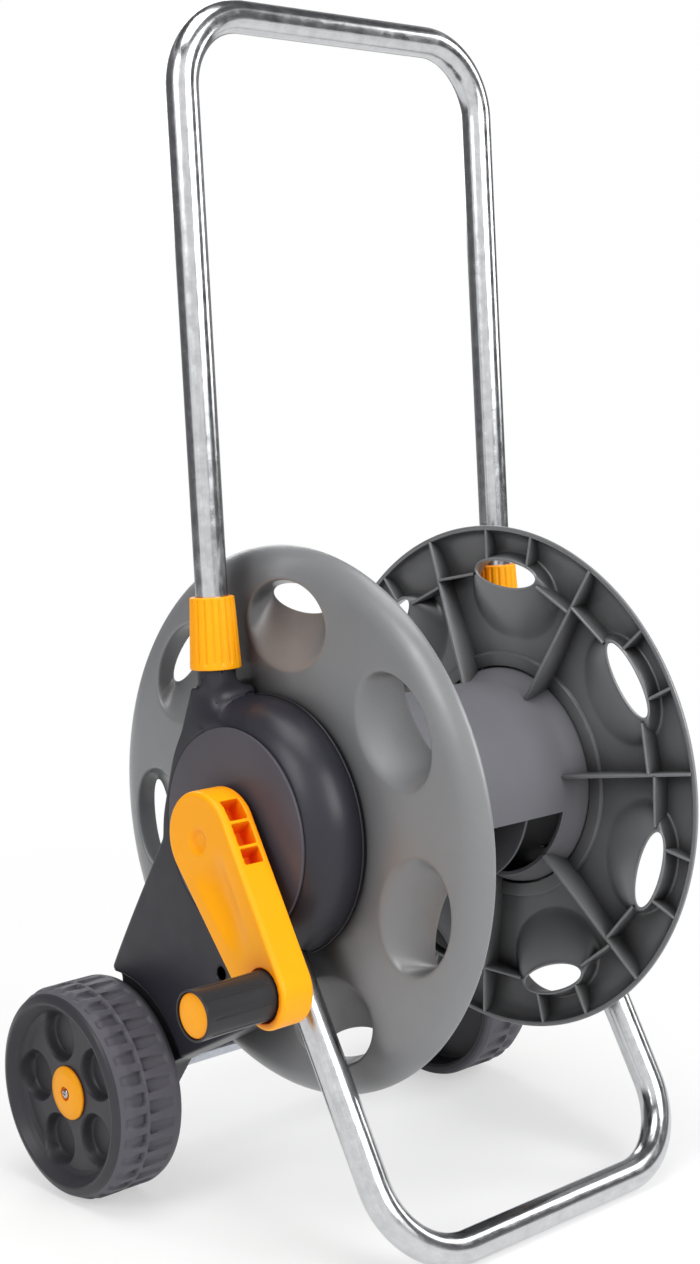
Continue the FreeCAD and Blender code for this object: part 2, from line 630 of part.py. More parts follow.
def make_collars():
    """Ring nuts that squeeze a split collet on each handle leg."""
    low, high = COLLAR_H
    neck_top = low + 13.0
    body = leg_cone(COLLAR_RADII[0], COLLAR_RADII[1], low, high)
    slope = (COLLAR_RADII[0] - COLLAR_RADII[1]) / (high - low)
    for k in range(COLLAR_FLUTES):
        angle = 2.0 * math.pi * k / COLLAR_FLUTES
        out = Vector(math.cos(angle), math.sin(angle), 0)
        start = leg_point(low + 3.0) + out * (COLLAR_RADII[0] + 1.2 - 3.0 * slope)
        end = leg_point(high + 1.0) + out * (COLLAR_RADII[1] + 1.2 - 1.0 * slope)
        body = body.cut(round_bar(1.85, start, end))
    bore = leg_rod(NECK_R + GAP, low - 1.0, neck_top + GAP)
    seat = leg_cone(NECK_R + GAP, TUBE_R + 1.2, neck_top + GAP, high - 6.0)
    body = body.cut(bore).cut(seat).cut(leg_rod(TUBE_R + GAP, high - 7.0, high + 1.0))
    parts["collar_inlet_side"] = body
    parts["collar_crank_side"] = mirrored(body)
    collet = leg_cone(NECK_R - 0.1, TUBE_R + 1.2, neck_top + GAP, high - 7.0)
    collet = collet.cut(leg_rod(TUBE_R + RUN, neck_top, high))
    centre = leg_point(high)
    slit = box(centre.x - 0.8, centre.x + 0.8, centre.y, centre.y + 30.0, AXIS_Z + neck_top + 4.0,
               AXIS_Z + high + 5.0)
    for k in range(4):
        collet = collet.cut(slit.rotated(centre, LEG_DIR, 45.0 + 90.0 * k))
    parts["collet_inlet_side"] = collet
    parts["collet_crank_side"] = mirrored(collet)


# ---------------------------------------------------------------- wheels

def make_wheels():
    bore = AXLE_R + RUN
    rim_in = WHEEL_R - 9.0
    inner_web = WHEEL_FACE_X - 22.0
    profile = [
        (WHEEL_X, bore), (WHEEL_X, WHEEL_HUB_R), (inner_web, WHEEL_HUB_R), (inner_web, rim_in),
        (WHEEL_X + 2.0, rim_in), (WHEEL_X, rim_in + 2.0), (WHEEL_X, WHEEL_R - 4.0),
        (WHEEL_X + 1.2, WHEEL_R - 1.2, "arc"), (WHEEL_X + 4.0, WHEEL_R),
        (WHEEL_OUT_X - 13.0, WHEEL_R), (WHEEL_OUT_X - 3.5, WHEEL_R - 4.5, "arc"),
        (WHEEL_OUT_X, WHEEL_R - 13.0), (WHEEL_OUT_X - 2.5, WHEEL_R - 16.0),
        (WHEEL_FACE_X, WHEEL_R - 18.0), (WHEEL_FACE_X, HUB_CAP_R + 1.0),
        (HUB_FACE_X, HUB_CAP_R + 1.0), (HUB_FACE_X, bore),
    ]
    wheel = turned(profile, AXLE_Y, AXLE_Z)
    cuts = []
    for k in range(WHEEL_POCKETS):
        angle = math.radians(360.0 * k / WHEEL_POCKETS)
        y = AXLE_Y + WHEEL_POCKET_RING * math.sin(angle)
        z = AXLE_Z + WHEEL_POCKET_RING * math.cos(angle)
        bowl = Part.makeCone(WHEEL_POCKET_R, WHEEL_POCKET_R - 3.0, 10.0,
                             Vector(WHEEL_FACE_X + 0.01, y, z), Vector(-1, 0, 0))
        cuts.append(bowl)
    middle_x = (WHEEL_X + WHEEL_OUT_X - 9.0) / 2.0
    rows = ((WHEEL_X - 1.0, middle_x - 2.5, 0.0), (middle_x + 2.5, WHEEL_OUT_X - 9.0, 0.5))
    for start, end, phase in rows:
        for k in range(TREAD_BLOCKS):
            groove = box(start, end, AXLE_Y - 2.2, AXLE_Y + 2.2, AXLE_Z + WHEEL_R - 2.6,
                         AXLE_Z + WHEEL_R + 2.0)
            turn = 360.0 * (k + phase) / TREAD_BLOCKS
            cuts.append(groove.rotated(Vector(0, AXLE_Y, AXLE_Z), X_DIR, turn))
    wheel = wheel.cut(Part.makeCompound(cuts))
    parts["wheel_inlet_side"] = wheel
    parts["wheel_crank_side"] = mirrored(wheel)
    washer = ring_x(12.0, AXLE_R + FIT, WHEEL_X - 2.0, WHEEL_X - GAP, AXLE_Y, AXLE_Z)
    parts["wheel_washers"] = Part.makeCompound([washer, mirrored(washer)])
    cap = turned([
        (HUB_FACE_X + GAP, 0.0), (HUB_FACE_X + GAP, HUB_CAP_R), (HUB_FACE_X + 2.5, HUB_CAP_R),
        (HUB_FACE_X + 4.6, HUB_CAP_R - 2.5, "arc"), (HUB_FACE_X + 5.2, HUB_CAP_R - 6.0),
        (HUB_FACE_X + 5.2, 0.0),
    ], AXLE_Y, AXLE_Z)
    shank = rod_x(AXLE_R - AXLE_WALL - FIT, HUB_FACE_X - 18.0, HUB_FACE_X + 1.0, AXLE_Y, AXLE_Z)
    cap = cap.fuse(shank)
    cap = cap.cut(rod_x(4.0, HUB_FACE_X + 3.2, HUB_FACE_X + 6.0, AXLE_Y, AXLE_Z))
    cap = cap.cut(rod_x(1.6, HUB_FACE_X - 14.0, HUB_FACE_X + 4.0, AXLE_Y, AXLE_Z))
    parts["hub_cap_inlet_side"] = cap
    parts["hub_cap_crank_side"] = mirrored(cap)
    screw = pan_screw(HUB_FACE_X + 3.2, HUB_FACE_X - 12.0, AXLE_Y, AXLE_Z, 1.5, 3.0, 1.8)
    parts["hub_cap_screws"] = Part.makeCompound([screw, mirrored(screw)])


# ---------------------------------------------------------------- crank

def crank_plan(shrink):
    """Outline of the arm pointing up: two round ends joined by tangent lines."""
    hub = CRANK_HUB_R - shrink
    end = CRANK_END_R - shrink
    side = math.asin((hub - end) / CRANK_LENGTH)
    cos_side = math.cos(side)
    sin_side = math.sin(side)
    hub_left = Vector(0, -hub * cos_side, AXIS_Z + hub * sin_side)
    hub_right = Vector(0, hub * cos_side, AXIS_Z + hub * sin_side)
    end_left = Vector(0, -end * cos_side, AXIS_Z + CRANK_LENGTH + end * sin_side)
    end_right = Vector(0, end * cos_side, AXIS_Z + CRANK_LENGTH + end * sin_side)
    bottom = Vector(0, 0, AXIS_Z - hub)
    top = Vector(0, 0, AXIS_Z + CRANK_LENGTH + end)
    return Part.Face(Part.Wire([
        Part.makeLine(hub_left, end_left),
        Part.Arc(end_left, top, end_right).toShape(),
        Part.makeLine(end_right, hub_right),
        Part.Arc(hub_right, bottom, hub_left).toShape(),
    ]))


def crank_slab(inner_inset, outer_inset):
    """Layer that follows the arm's outward lean, between its inner and outer faces."""
    slope = CRANK_RISE / CRANK_LENGTH
    low = -CRANK_HUB_R - 5.0
    high = CRANK_LENGTH + CRANK_END_R + 5.0
    points = []
    for base, along in ((CRANK_X + inner_inset, low), (CRANK_X + inner_inset, high),
                        (CRANK_OUT_X - outer_inset, high), (CRANK_OUT_X - outer_inset, low)):
        points.append(Vector(base + slope * max(along, 0.0), -60.0, AXIS_Z + along))
    points.append(points[0])
    knee_in = Vector(CRANK_X + inner_inset, -60.0, AXIS_Z)
    knee_out = Vector(CRANK_OUT_X - outer_inset, -60.0, AXIS_Z)
    ring = [points[0], knee_in, points[1], points[2], knee_out, points[3], points[0]]
    return Part.Face(Part.makePolygon(ring)).extrude(Vector(0, 120.0, 0))


def crank_prism(shrink):
    face = crank_plan(shrink)
    return face.extrude(Vector(300.0, 0, 0)).translated(Vector(1.0, 0, 0))


def make_crank():
    body = crank_prism(0.0).common(crank_slab(0.0, 0.0))
    # long thumb hollow in the outer face, and the round dimple over the spindle
    slope = math.atan2(CRANK_RISE, CRANK_LENGTH)
    trough_r = 36.0
    trough = Part.makeCylinder(trough_r, 66.0, Vector(CRANK_OUT_X + trough_r - 4.0, 0, AXIS_Z + 24.0))
    trough.rotate(Vector(CRANK_OUT_X, 0, AXIS_Z), Vector(0, 1, 0), math.degrees(slope))
    body = body.cut(trough)
    body = body.cut(rod_x(9.0, CRANK_OUT_X - 1.2, CRANK_OUT_X + 5.0))
    # open pockets round the hub end, between the two skins
    gap_layer = crank_prism(0.0).cut(crank_prism(13.0)).common(crank_slab(5.0, 8.0))
    reach = box(CRANK_X, CRANK_OUT_X, -60.0, 60.0, AXIS_Z - 60.0, AXIS_Z + 27.0)
    back_half = box(CRANK_X, CRANK_OUT_X, -60.0, 0.0, AXIS_Z - 20.0, AXIS_Z + 60.0)
    pockets = gap_layer.common(reach).cut(back_half)
    rib_t = 2.4
    for height in (8.0, -9.0):
        pockets = pockets.cut(box(CRANK_X, CRANK_OUT_X + 20.0, 0.0, 60.0,
                                  AXIS_Z + height - rib_t / 2.0, AXIS_Z + height + rib_t / 2.0))
    divider = box(CRANK_X, CRANK_OUT_X, -rib_t / 2.0, rib_t / 2.0, AXIS_Z - 60.0, AXIS_Z)
    pockets = pockets.cut(divider).cut(divider.rotated(AXIS_POINT, X_DIR, -45.0))
    pockets = pockets.cut(divider.rotated(AXIS_POINT, X_DIR, 35.0))
    body = body.cut(pockets)
    # cup and hole for the grip pin
    grip_z = AXIS_Z + CRANK_LENGTH
    body = body.cut(rod_x(GRIP_R + 1.0, CUP_X, CUP_X + 20.0, 0.0, grip_z))
    body = body.cut(rod_x(PIN_R + FIT, CUP_X - 16.0, CUP_X + 1.0, 0.0, grip_z))
    body = about_axis(body, CRANK_ANGLE)
    body = body.cut(hexagon_x(SHAFT_FLAT + 2 * FIT, CRANK_X - 1.0, CRANK_X + 17.0))
    body = body.cut(rod_x(2.4, CRANK_X, CRANK_X + 22.0))
    parts["crank_arm"] = mirrored(body)
    sleeve = rod_x(GRIP_R, CUP_X + GAP, GRIP_END_X, 0.0, grip_z)
    sleeve = sleeve.cut(rod_x(PIN_R + RUN, CUP_X, GRIP_END_X + 1.0, 0.0, grip_z))
    sleeve = sleeve.cut(rod_x(GRIP_R - 1.6, GRIP_END_X - 3.5, GRIP_END_X + 1.0, 0.0, grip_z))
    for k in range(8):
        groove = box(CUP_X + 8.0, GRIP_END_X - 6.0, -0.6, 0.6, grip_z + GRIP_R - 0.5,
                     grip_z + GRIP_R + 1.0)
        sleeve = sleeve.cut(groove.rotated(Vector(0, 0, grip_z), X_DIR, 45.0 * k + 10.0))
    parts["grip_sleeve"] = mirrored(about_axis(sleeve, CRANK_ANGLE))
    pin = rod_x(PIN_R, CUP_X - 16.0, GRIP_END_X - 1.0, 0.0, grip_z)
    head = rod_x(GRIP_R - 1.6 - GAP, GRIP_END_X - 3.5 + GAP, GRIP_END_X - 0.4, 0.0, grip_z)
    parts["grip_pin"] = mirrored(about_axis(pin.fuse(head), CRANK_ANGLE))
    shaft = rod_x(SHAFT_R, JOURNAL_END_X - 1.0, CRANK_X)
    shaft = shaft.fuse(hexagon_x(SHAFT_FLAT, HUB_IN_X - 7.0, JOURNAL_END_X - 1.0))
    shaft = shaft.fuse(hexagon_x(SHAFT_FLAT, CRANK_X, CRANK_X + 16.5))
    shaft = shaft.cut(rod_x(2.6, HUB_IN_X - 8.0, CRANK_X + 18.0))
    parts["crank_shaft"] = mirrored(shaft)
    bolt = pan_screw(HUB_IN_X - 10.0, CRANK_X + 21.5, 0.0, AXIS_Z, 2.35, 5.0, 3.5)
    parts["crank_bolt"] = mirrored(bolt)


# ---------------------------------------------------------------- water way

def stem_screw_places():
    """Screws round the stem, turned so that their posts clear the handle leg."""
    places = []
    for k in range(3):
        angle = math.radians(90.0 + 120.0 * k)
        places.append((-STEM_SCREW_R * math.sin(angle), AXIS_Z + STEM_SCREW_R * math.cos(angle)))
    return places


SEAL_R = 0.95
STEM_IN_X = HUB_IN_X - STEM_REACH    # inner end of the stem, inside the barrel
ELBOW_X = BOSS_FACE_X + 4.0          # inner face of the inlet elbow
STEM_OUT_X = ELBOW_X + 22.0


def seal_groove(x):
    return ring_x(STEM_R + 1.0, STEM_R - 1.9, x - 1.2, x + 1.2)


def seal_ring(x):
    ring = Part.makeTorus(STEM_R - SEAL_R + 0.03, SEAL_R, Vector(x, 0, AXIS_Z), X_DIR)
    return ring


def make_water_way():
    inner_seals = (STEM_IN_X + 6.0, STEM_IN_X + 12.0)
    outer_seals = (ELBOW_X + 12.0, ELBOW_X + 17.0)
    # fixed stem through the cover, the bearing and the flange
    stem = ring_x(STEM_R, STEM_BORE, STEM_IN_X, STEM_OUT_X)
    stem = stem.fuse(ring_x(26.0, STEM_R - 1.0, BOSS_FACE_X, BOSS_FACE_X + 3.5))
    for x in inner_seals + outer_seals:
        stem = stem.cut(seal_groove(x))
    clip_x = ELBOW_X + 5.0
    stem = stem.cut(ring_x(STEM_R + 1.0, STEM_R - 1.5, clip_x - 1.1, clip_x + 1.1))
    for y, z in stem_screw_places():
        stem = stem.cut(rod_x(1.6, BOSS_FACE_X - 1.0, BOSS_FACE_X + 5.0, y, z))
    parts["inlet_stem"] = stem
    screws = [pan_screw(BOSS_FACE_X + 3.5, CAP_SEAT_X - 7.0, y, z, 1.5, 3.0, 0.4)
              for y, z in stem_screw_places()]
    parts["stem_screws"] = Part.makeCompound(screws)
    parts["stem_seals"] = Part.makeCompound([seal_ring(x) for x in inner_seals + outer_seals])
    # inlet elbow that swivels on the stem
    elbow = rod_x(ELBOW_R, ELBOW_X, STEM_OUT_X + 12.0)
    branch_x = STEM_OUT_X + 2.0
    drop_point = Vector(branch_x, 0, AXIS_Z - ELBOW_DROP)
    elbow = elbow.fuse(round_bar(11.5, Vector(branch_x, 0, AXIS_Z), drop_point))
    elbow = elbow.cut(rod_x(STEM_R + RUN, ELBOW_X - 1.0, STEM_OUT_X + GAP))
    elbow = elbow.cut(rod_x(STEM_BORE, STEM_OUT_X, STEM_OUT_X + 9.0))
    elbow = elbow.cut(round_bar(6.0, Vector(branch_x, 0, AXIS_Z), drop_point - Vector(0, 0, 1)))
    elbow = elbow.cut(round_bar(NOSE_R + FIT, drop_point + Vector(0, 0, 14.0), drop_point - Vector(0, 0, 1)))
    slot = box(clip_x - 1.1 - GAP, clip_x + 1.1 + GAP, -ELBOW_R - 2.0, ELBOW_R + 2.0,
               AXIS_Z - 9.0, AXIS_Z + ELBOW_R + 2.0)
    slot = slot.cut(rod_x(STEM_R - 1.5, clip_x - 3.0, clip_x + 3.0))
    elbow = elbow.cut(slot)
    parts["inlet_elbow"] = elbow
    clip = box(clip_x - 0.9, clip_x + 0.9, -ELBOW_R - 1.0, ELBOW_R + 1.0,
               AXIS_Z - 8.0, AXIS_Z + ELBOW_R + 1.5)
    clip = clip.cut(rod_x(STEM_R - 1.5 + GAP, clip_x - 2.0, clip_x + 2.0))
    clip = clip.cut(box(clip_x - 2.0, clip_x + 2.0, -STEM_R + 1.5 - GAP, STEM_R - 1.5 + GAP,
                        AXIS_Z - 20.0, AXIS_Z))
    parts["inlet_clip"] = clip
    # hose nose screwed into the elbow
    nose_top = drop_point + Vector(0, 0, 14.0)
    collar_top = drop_point
    collar_low = drop_point - Vector(0, 0, 5.0)
    nose_low = drop_point - Vector(0, 0, 34.0)
    nose = round_bar(NOSE_R, nose_top, nose_low).fuse(round_bar(12.5, collar_top, collar_low))
    ridge = round_bar(NOSE_R + 1.6, drop_point - Vector(0, 0, 17.0), drop_point - Vector(0, 0, 20.0))
    nose = nose.fuse(ridge).cut(round_bar(5.0, nose_top + Vector(0, 0, 1), nose_low - Vector(0, 0, 1)))
    parts["inlet_nose"] = nose
    # inner elbow that turns with the drum and ends in the hose tail at the window
    body = rod_x(STEM_R + 4.5, STEM_IN_X - 20.0, HUB_IN_X)
    body = body.fuse(ring_x(30.0, STEM_R + 3.0, HUB_IN_X - 3.0, HUB_IN_X))
    tail_x = STEM_IN_X - 9.0
    tail_angle = math.radians(148.0)
    way = Vector(0, -math.sin(tail_angle), math.cos(tail_angle))
    centre = Vector(tail_x, 0, AXIS_Z)
    body = body.fuse(round_bar(10.0, centre, centre + way * 36.0))
    body = body.cut(rod_x(STEM_R + RUN, STEM_IN_X - GAP, HUB_IN_X + 1.0))
    body = body.cut(rod_x(STEM_BORE, STEM_IN_X - 16.0, STEM_IN_X))
    body = body.cut(round_bar(5.0, centre, centre + way * 37.0))
    body = body.cut(round_bar(TAIL_R + FIT, centre + way * 24.0, centre + way * 37.0))
    parts["drum_elbow"] = body
    tail = round_bar(TAIL_R, centre + way * 24.0, centre + way * 53.5)
    tail = tail.fuse(round_bar(TAIL_END_R, centre + way * 53.5, centre + way * 64.0))
    tail = tail.fuse(round_bar(11.0, centre + way * 36.0, centre + way * 41.0))
    for step in range(2):
        base = centre + way * (43.0 + 5.5 * step)
        tail = tail.fuse(Part.makeCone(TAIL_R + 1.0, TAIL_R - 0.1, 4.5, base, way))
    tail = tail.cut(round_bar(4.5, centre + way * 23.0, centre + way * 65.0))
    parts["hose_tail"] = tail


# ---------------------------------------------------------------- build and save

make_flanges()
make_barrel()
make_drum_screws()
make_side_frames()
make_back_plates()
make_boss_covers()
make_tubes()
make_collars()
make_wheels()
make_crank()
make_water_way()

os.makedirs("parts", exist_ok=True)
for name, shape in parts.items():
    shape.translate(ORIGIN_SHIFT)
    shape.exportStep("parts/" + name + ".step")
    bounds = shape.BoundBox
    print(name, len(shape.Solids), shape.isValid(), round(shape.Volume / 1000.0, 1),
          [round(v, 1) for v in (bounds.XMin, bounds.XMax, bounds.YMin, bounds.YMax, bounds.ZMin, bounds.ZMax)])
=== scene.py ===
import json
import math

import bmesh
import bpy
import numpy as np
from mathutils import Matrix, Vector


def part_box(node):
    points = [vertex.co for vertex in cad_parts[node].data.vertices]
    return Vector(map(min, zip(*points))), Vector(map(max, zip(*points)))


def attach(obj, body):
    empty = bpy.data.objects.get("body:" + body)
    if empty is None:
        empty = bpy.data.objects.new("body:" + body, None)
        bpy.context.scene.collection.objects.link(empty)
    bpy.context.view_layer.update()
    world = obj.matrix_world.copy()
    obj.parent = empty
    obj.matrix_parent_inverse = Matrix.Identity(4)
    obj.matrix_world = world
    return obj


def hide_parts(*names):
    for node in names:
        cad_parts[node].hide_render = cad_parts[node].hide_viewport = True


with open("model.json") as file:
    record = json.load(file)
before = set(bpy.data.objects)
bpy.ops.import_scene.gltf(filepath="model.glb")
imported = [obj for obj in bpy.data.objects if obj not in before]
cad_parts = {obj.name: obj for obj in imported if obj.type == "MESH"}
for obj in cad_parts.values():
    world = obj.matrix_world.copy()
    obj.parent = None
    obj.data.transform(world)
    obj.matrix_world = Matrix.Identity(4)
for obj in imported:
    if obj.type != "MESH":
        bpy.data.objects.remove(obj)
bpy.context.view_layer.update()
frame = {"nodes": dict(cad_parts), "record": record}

# Garden hose reel cart.  Every shape below is written in millimetres from three places that the
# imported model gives: x from the drum's mid-plane, y from the drum axis, z from the floor.  Shapes
# are drawn for the inlet side (+x) and mirrored for the crank side.

MM = 0.001


def middle(node):
    low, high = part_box(node)
    return (low + high) / 2.0


DRUM = middle("drum_barrel")
AXIS = middle("flange_inlet_side")
AXLE = middle("axle")
ORIGIN = np.array([DRUM.x, AXIS.y, 0.0])
AXIS_Z = AXIS.z / MM
AXLE_Y = (AXLE.y - AXIS.y) / MM
AXLE_Z = AXLE.z / MM
TAU = 2.0 * math.pi


# ------------------------ materials

def linear(red, green, blue):
    """Screen colour, 0 to 255, as the linear colour a shader takes."""
    out = []
    for value in (red, green, blue):
        c = value / 255.0
        out.append(c / 12.92 if c <= 0.04045 else ((c + 0.055) / 1.055) ** 2.4)
    return (*out, 1.0)


class Finish:
    """Node tree of one material, built step by step."""

    def __init__(self, name):
        self.material = bpy.data.materials.new(name)
        self.material.use_nodes = True
        self.nodes = self.material.node_tree.nodes
        self.links = self.material.node_tree.links
        self.shader = self.nodes["Principled BSDF"]
        self.place = self.nodes.new("ShaderNodeTexCoord").outputs["Object"]

    def node(self, kind, **settings):
        made = self.nodes.new(kind)
        for key, value in settings.items():
            setattr(made, key, value)
        return made

    def join(self, source, target):
        self.links.new(source, target)

    def stretched(self, scale, source=None):
        """Object position with its axes scaled one by one."""
        mapping = self.node("ShaderNodeMapping")
        mapping.inputs["Scale"].default_value = scale
        self.join(source or self.place, mapping.inputs["Vector"])
        return mapping.outputs["Vector"]

    def noise(self, scale, detail=3.0, rough=0.5, place=None):
        made = self.node("ShaderNodeTexNoise")
        made.inputs["Scale"].default_value = scale
        made.inputs["Detail"].default_value = detail
        made.inputs["Roughness"].default_value = rough
        self.join(place or self.place, made.inputs["Vector"])
        return made.outputs["Fac"]

    def spread(self, source, low, high, from_low=0.3, from_high=0.7):
        """Source stretched to run from low to high."""
        made = self.node("ShaderNodeMapRange")
        made.inputs["From Min"].default_value = from_low
        made.inputs["From Max"].default_value = from_high
        made.inputs["To Min"].default_value = low
        made.inputs["To Max"].default_value = high
        self.join(source, made.inputs["Value"])
        return made.outputs["Result"]

    def blend(self, factor, first, second):
        """Colour mix; first and second are colours or sockets."""
        made = self.node("ShaderNodeMix", data_type="RGBA")
        self.join(factor, made.inputs[0])
        for socket, value in ((made.inputs[6], first), (made.inputs[7], second)):
            if isinstance(value, tuple):
                socket.default_value = value
            else:
                self.join(value, socket)
        return made.outputs[2]

    def bump(self, height, strength, distance, under=None):
        made = self.node("ShaderNodeBump")
        made.inputs["Strength"].default_value = strength
        made.inputs["Distance"].default_value = distance
        self.join(height, made.inputs["Height"])
        if under is not None:
            self.join(under, made.inputs["Normal"])
        return made.outputs["Normal"]

    def finish(self, colour, roughness, normal):
        self.join(colour, self.shader.inputs["Base Color"])
        self.join(roughness, self.shader.inputs["Roughness"])
        self.join(normal, self.shader.inputs["Normal"])
        return self.material


def shade(colour, factor):
    return (*[min(c * factor, 1.0) for c in colour[:3]], 1.0)


def moulded(name, colour, rough, grain=0.12, drift=0.08, coat=0.0, worn=1.35, gloss=0.5, deep=None,
             reach=0.016, full_shade_at=0.25):
    """Moulded plastic: slow drift of tone, fine spark-eroded grain, lighter rubbed edges, and
    painted
    shade: corners and recesses darken towards the deep colour where an occlusion node finds walls."""
    f = Finish(name)
    slow = f.spread(f.noise(14.0, 4.0, 0.55), 0.0, 1.0)
    tone = f.blend(slow, shade(colour, 1.0 - drift), shade(colour, 1.0 + drift))
    edge = f.spread(f.node("ShaderNodeNewGeometry").outputs["Pointiness"], 0.0, 0.5, 0.52, 0.60)
    tone = f.blend(edge, tone, shade(colour, worn))
    speck = f.noise(900.0, 2.0, 0.6)
    tone = f.blend(f.spread(speck, 0.0, 0.10, 0.55, 0.75), tone, shade(colour, 1.5))
    # Painted shade: an occlusion node darkens corners, recesses and pockets towards the deep
    # colour, within reach metres of another surface.
    corner = f.node("ShaderNodeAmbientOcclusion", samples=6)
    corner.inputs["Distance"].default_value = reach
    painted_shade = f.spread(corner.outputs["AO"], 0.95, 0.0, full_shade_at, 0.95)
    tone = f.blend(painted_shade, tone, deep or shade(colour, 0.45))
    smear = f.spread(f.noise(45.0, 5.0, 0.6), rough - 0.05, rough + 0.07)
    fine = f.bump(speck, grain, 0.00025)
    wide = f.bump(f.noise(60.0, 2.0), 0.05, 0.001, fine)
    f.shader.inputs["Specular IOR Level"].default_value = gloss
    f.shader.inputs["Coat Weight"].default_value = coat
    f.shader.inputs["Coat Roughness"].default_value = 0.28
    return f.finish(tone, smear, wide)


def plated(name, colour, rough, lengthwise=False):
    """Bright plated steel: faint drawing lines, cloudy patches and pinpoint spots.  lengthwise
    runs them along a tube's own UV."""
    f = Finish(name)
    if lengthwise:
        place = f.node("ShaderNodeTexCoord").outputs["UV"]
        lines = f.noise(1.0, 4.0, 0.65, f.stretched((90.0, 1.6, 1.0), place))
        cloud = f.noise(1.0, 5.0, 0.65, f.stretched((9.0, 9.0, 1.0), place))
        spots = f.noise(1.0, 3.0, 0.7, f.stretched((34.0, 420.0, 1.0), place))
    else:
        lines = f.noise(260.0, 3.0, 0.6)
        cloud = f.noise(70.0, 5.0, 0.7)
        spots = f.noise(520.0, 2.0, 0.7)
    tone = f.blend(f.spread(cloud, 0.0, 1.0, 0.35, 0.65), shade(colour, 0.88), shade(colour, 1.06))
    tone = f.blend(f.spread(lines, 0.0, 0.5, 0.50, 0.75), tone, shade(colour, 0.72))
    tone = f.blend(f.spread(spots, 0.0, 0.6, 0.66, 0.74), tone, shade(colour, 0.5))
    cloudy = f.spread(cloud, rough - 0.04, rough + 0.08, 0.35, 0.7)
    drawn = f.bump(lines, 0.07, 0.0003)
    pitted = f.bump(spots, 0.03, 0.0002, drawn)
    f.shader.inputs["Metallic"].default_value = 1.0
    return f.finish(tone, cloudy, pitted)


# Every moulded finish here and below paints shade into its corners; a deep colour given below is
# the colour of that painted shade.
FINISH = {
    "plated_steel": plated("plated_steel_drawn", linear(204, 205, 207), 0.20, lengthwise=True),
    "frame_charcoal": moulded("frame_charcoal_satin", linear(35, 35, 43), 0.44, 0.10, 0.06, 0.22,
                              gloss=0.30),
    # Heavy painted shade: the flanges' ribs, funnels and corners darken to near black over a wide
    # occlusion reach.
    "flange_grey": moulded("flange_grey_satin", linear(117, 118, 120), 0.38, 0.08, 0.05, 0.5,
                           deep=linear(26, 26, 27), reach=0.040, full_shade_at=0.40),
    # Slight painted shade in the barrel's tight corners.
    "barrel_grey": moulded("barrel_grey_satin", linear(110, 110, 115), 0.45, 0.10, 0.06, gloss=0.2,
                           deep=linear(84, 84, 88), reach=0.006),
    # The deep orange is painted shade: the crank's pockets and dimple and the collars' flutes turn
    # a darker, warmer orange where walls stand close.
    "yellow": moulded("signal_yellow_gloss", linear(252, 166, 2), 0.38, 0.04, 0.04, 0.0, 1.05, 0.25,
                      linear(238, 90, 6)),
    "wheel_dark": moulded("wheel_dark_grain", linear(56, 55, 60), 0.42, 0.18, 0.08, 0.1,
                          gloss=0.22),
    "grip_dark": moulded("grip_dark_satin", linear(46, 46, 48), 0.34, 0.12, 0.08, gloss=0.25),
    "bush_white": moulded("bush_natural", linear(222, 221, 214), 0.35, 0.04, 0.03),
    "screw_steel": plated("screw_steel_bright", linear(180, 181, 184), 0.25),
    "seal_rubber": moulded("seal_rubber_black", linear(24, 24, 25), 0.60, 0.10, 0.10),
    "plug_black": moulded("plug_black_satin", linear(30, 30, 31), 0.45, 0.10, 0.10),
}
# Painted light: a paler copy of the wheel's dark plastic for the tread, where more light falls; its
# deep colour is painted shade in the tread pockets.
TREAD_LIT_COPY = moulded("wheel_dark_tread_painted_light", linear(85, 84, 91), 0.50, 0.20, 0.08, gloss=0.3,
                deep=linear(30, 30, 32))
COVER = moulded("cover_charcoal_satin", linear(78, 75, 82), 0.36, 0.08, 0.06, gloss=0.25)
# Painted shade: a darker copy of the barrel's grey for its inner skin and inner rings, with
# occlusion shade that reaches far and goes near black.
BARREL_SHADED_COPY = moulded("barrel_grey_painted_shade", linear(92, 92, 96), 0.55, 0.10, 0.06, gloss=0.2,
                 deep=linear(14, 14, 15), reach=0.09)
STEEL_PLAIN = plated("plated_steel_plain", linear(196, 200, 208), 0.18)

SLOT_OF = {}
for subpart in frame["record"]["subparts"]:
    SLOT_OF[subpart["node"]] = subpart["material_slot"]
BODY_OF = {}
for body, members in frame["record"]["behaviour"]["bodies"].items():
    for member in members:
        BODY_OF[member] = body

for node, thing in frame["nodes"].items():
    finish = FINISH[SLOT_OF[node]]
    if SLOT_OF[node] == "plated_steel":
        finish = STEEL_PLAIN
    thing.data.materials.clear()
    thing.data.materials.append(finish)


# ------------------------ mesh helpers

def sides(name):
    """Both mirrored node names with their side signs."""
    return ((name + "_inlet_side", 1), (name + "_crank_side", -1))


def add_piece(name, points, faces, nodes, side=1, uv=None, sharp=35.0):
    """Mesh piece from points in millimetres; it stands for the named CAD nodes."""
    place = np.asarray(points, float) * MM
    place[:, 0] *= side
    place += ORIGIN
    if side < 0:
        faces = [tuple(reversed(face)) for face in faces]
    mesh = bpy.data.meshes.new(name)
    mesh.from_pydata(place.tolist(), [], [tuple(int(i) for i in face) for face in faces])
    if uv is not None:
        layer = mesh.uv_layers.new(name="along")
        for loop in mesh.loops:
            layer.data[loop.index].uv = uv[loop.vertex_index]
    mesh.validate()
    mesh.materials.append(FINISH[SLOT_OF[nodes[0]]])
    thing = bpy.data.objects.new(name, mesh)
    bpy.context.scene.collection.objects.link(thing)
    tidy_surface(thing, sharp)
    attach(thing, BODY_OF[nodes[0]])
    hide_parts(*nodes)
    return thing


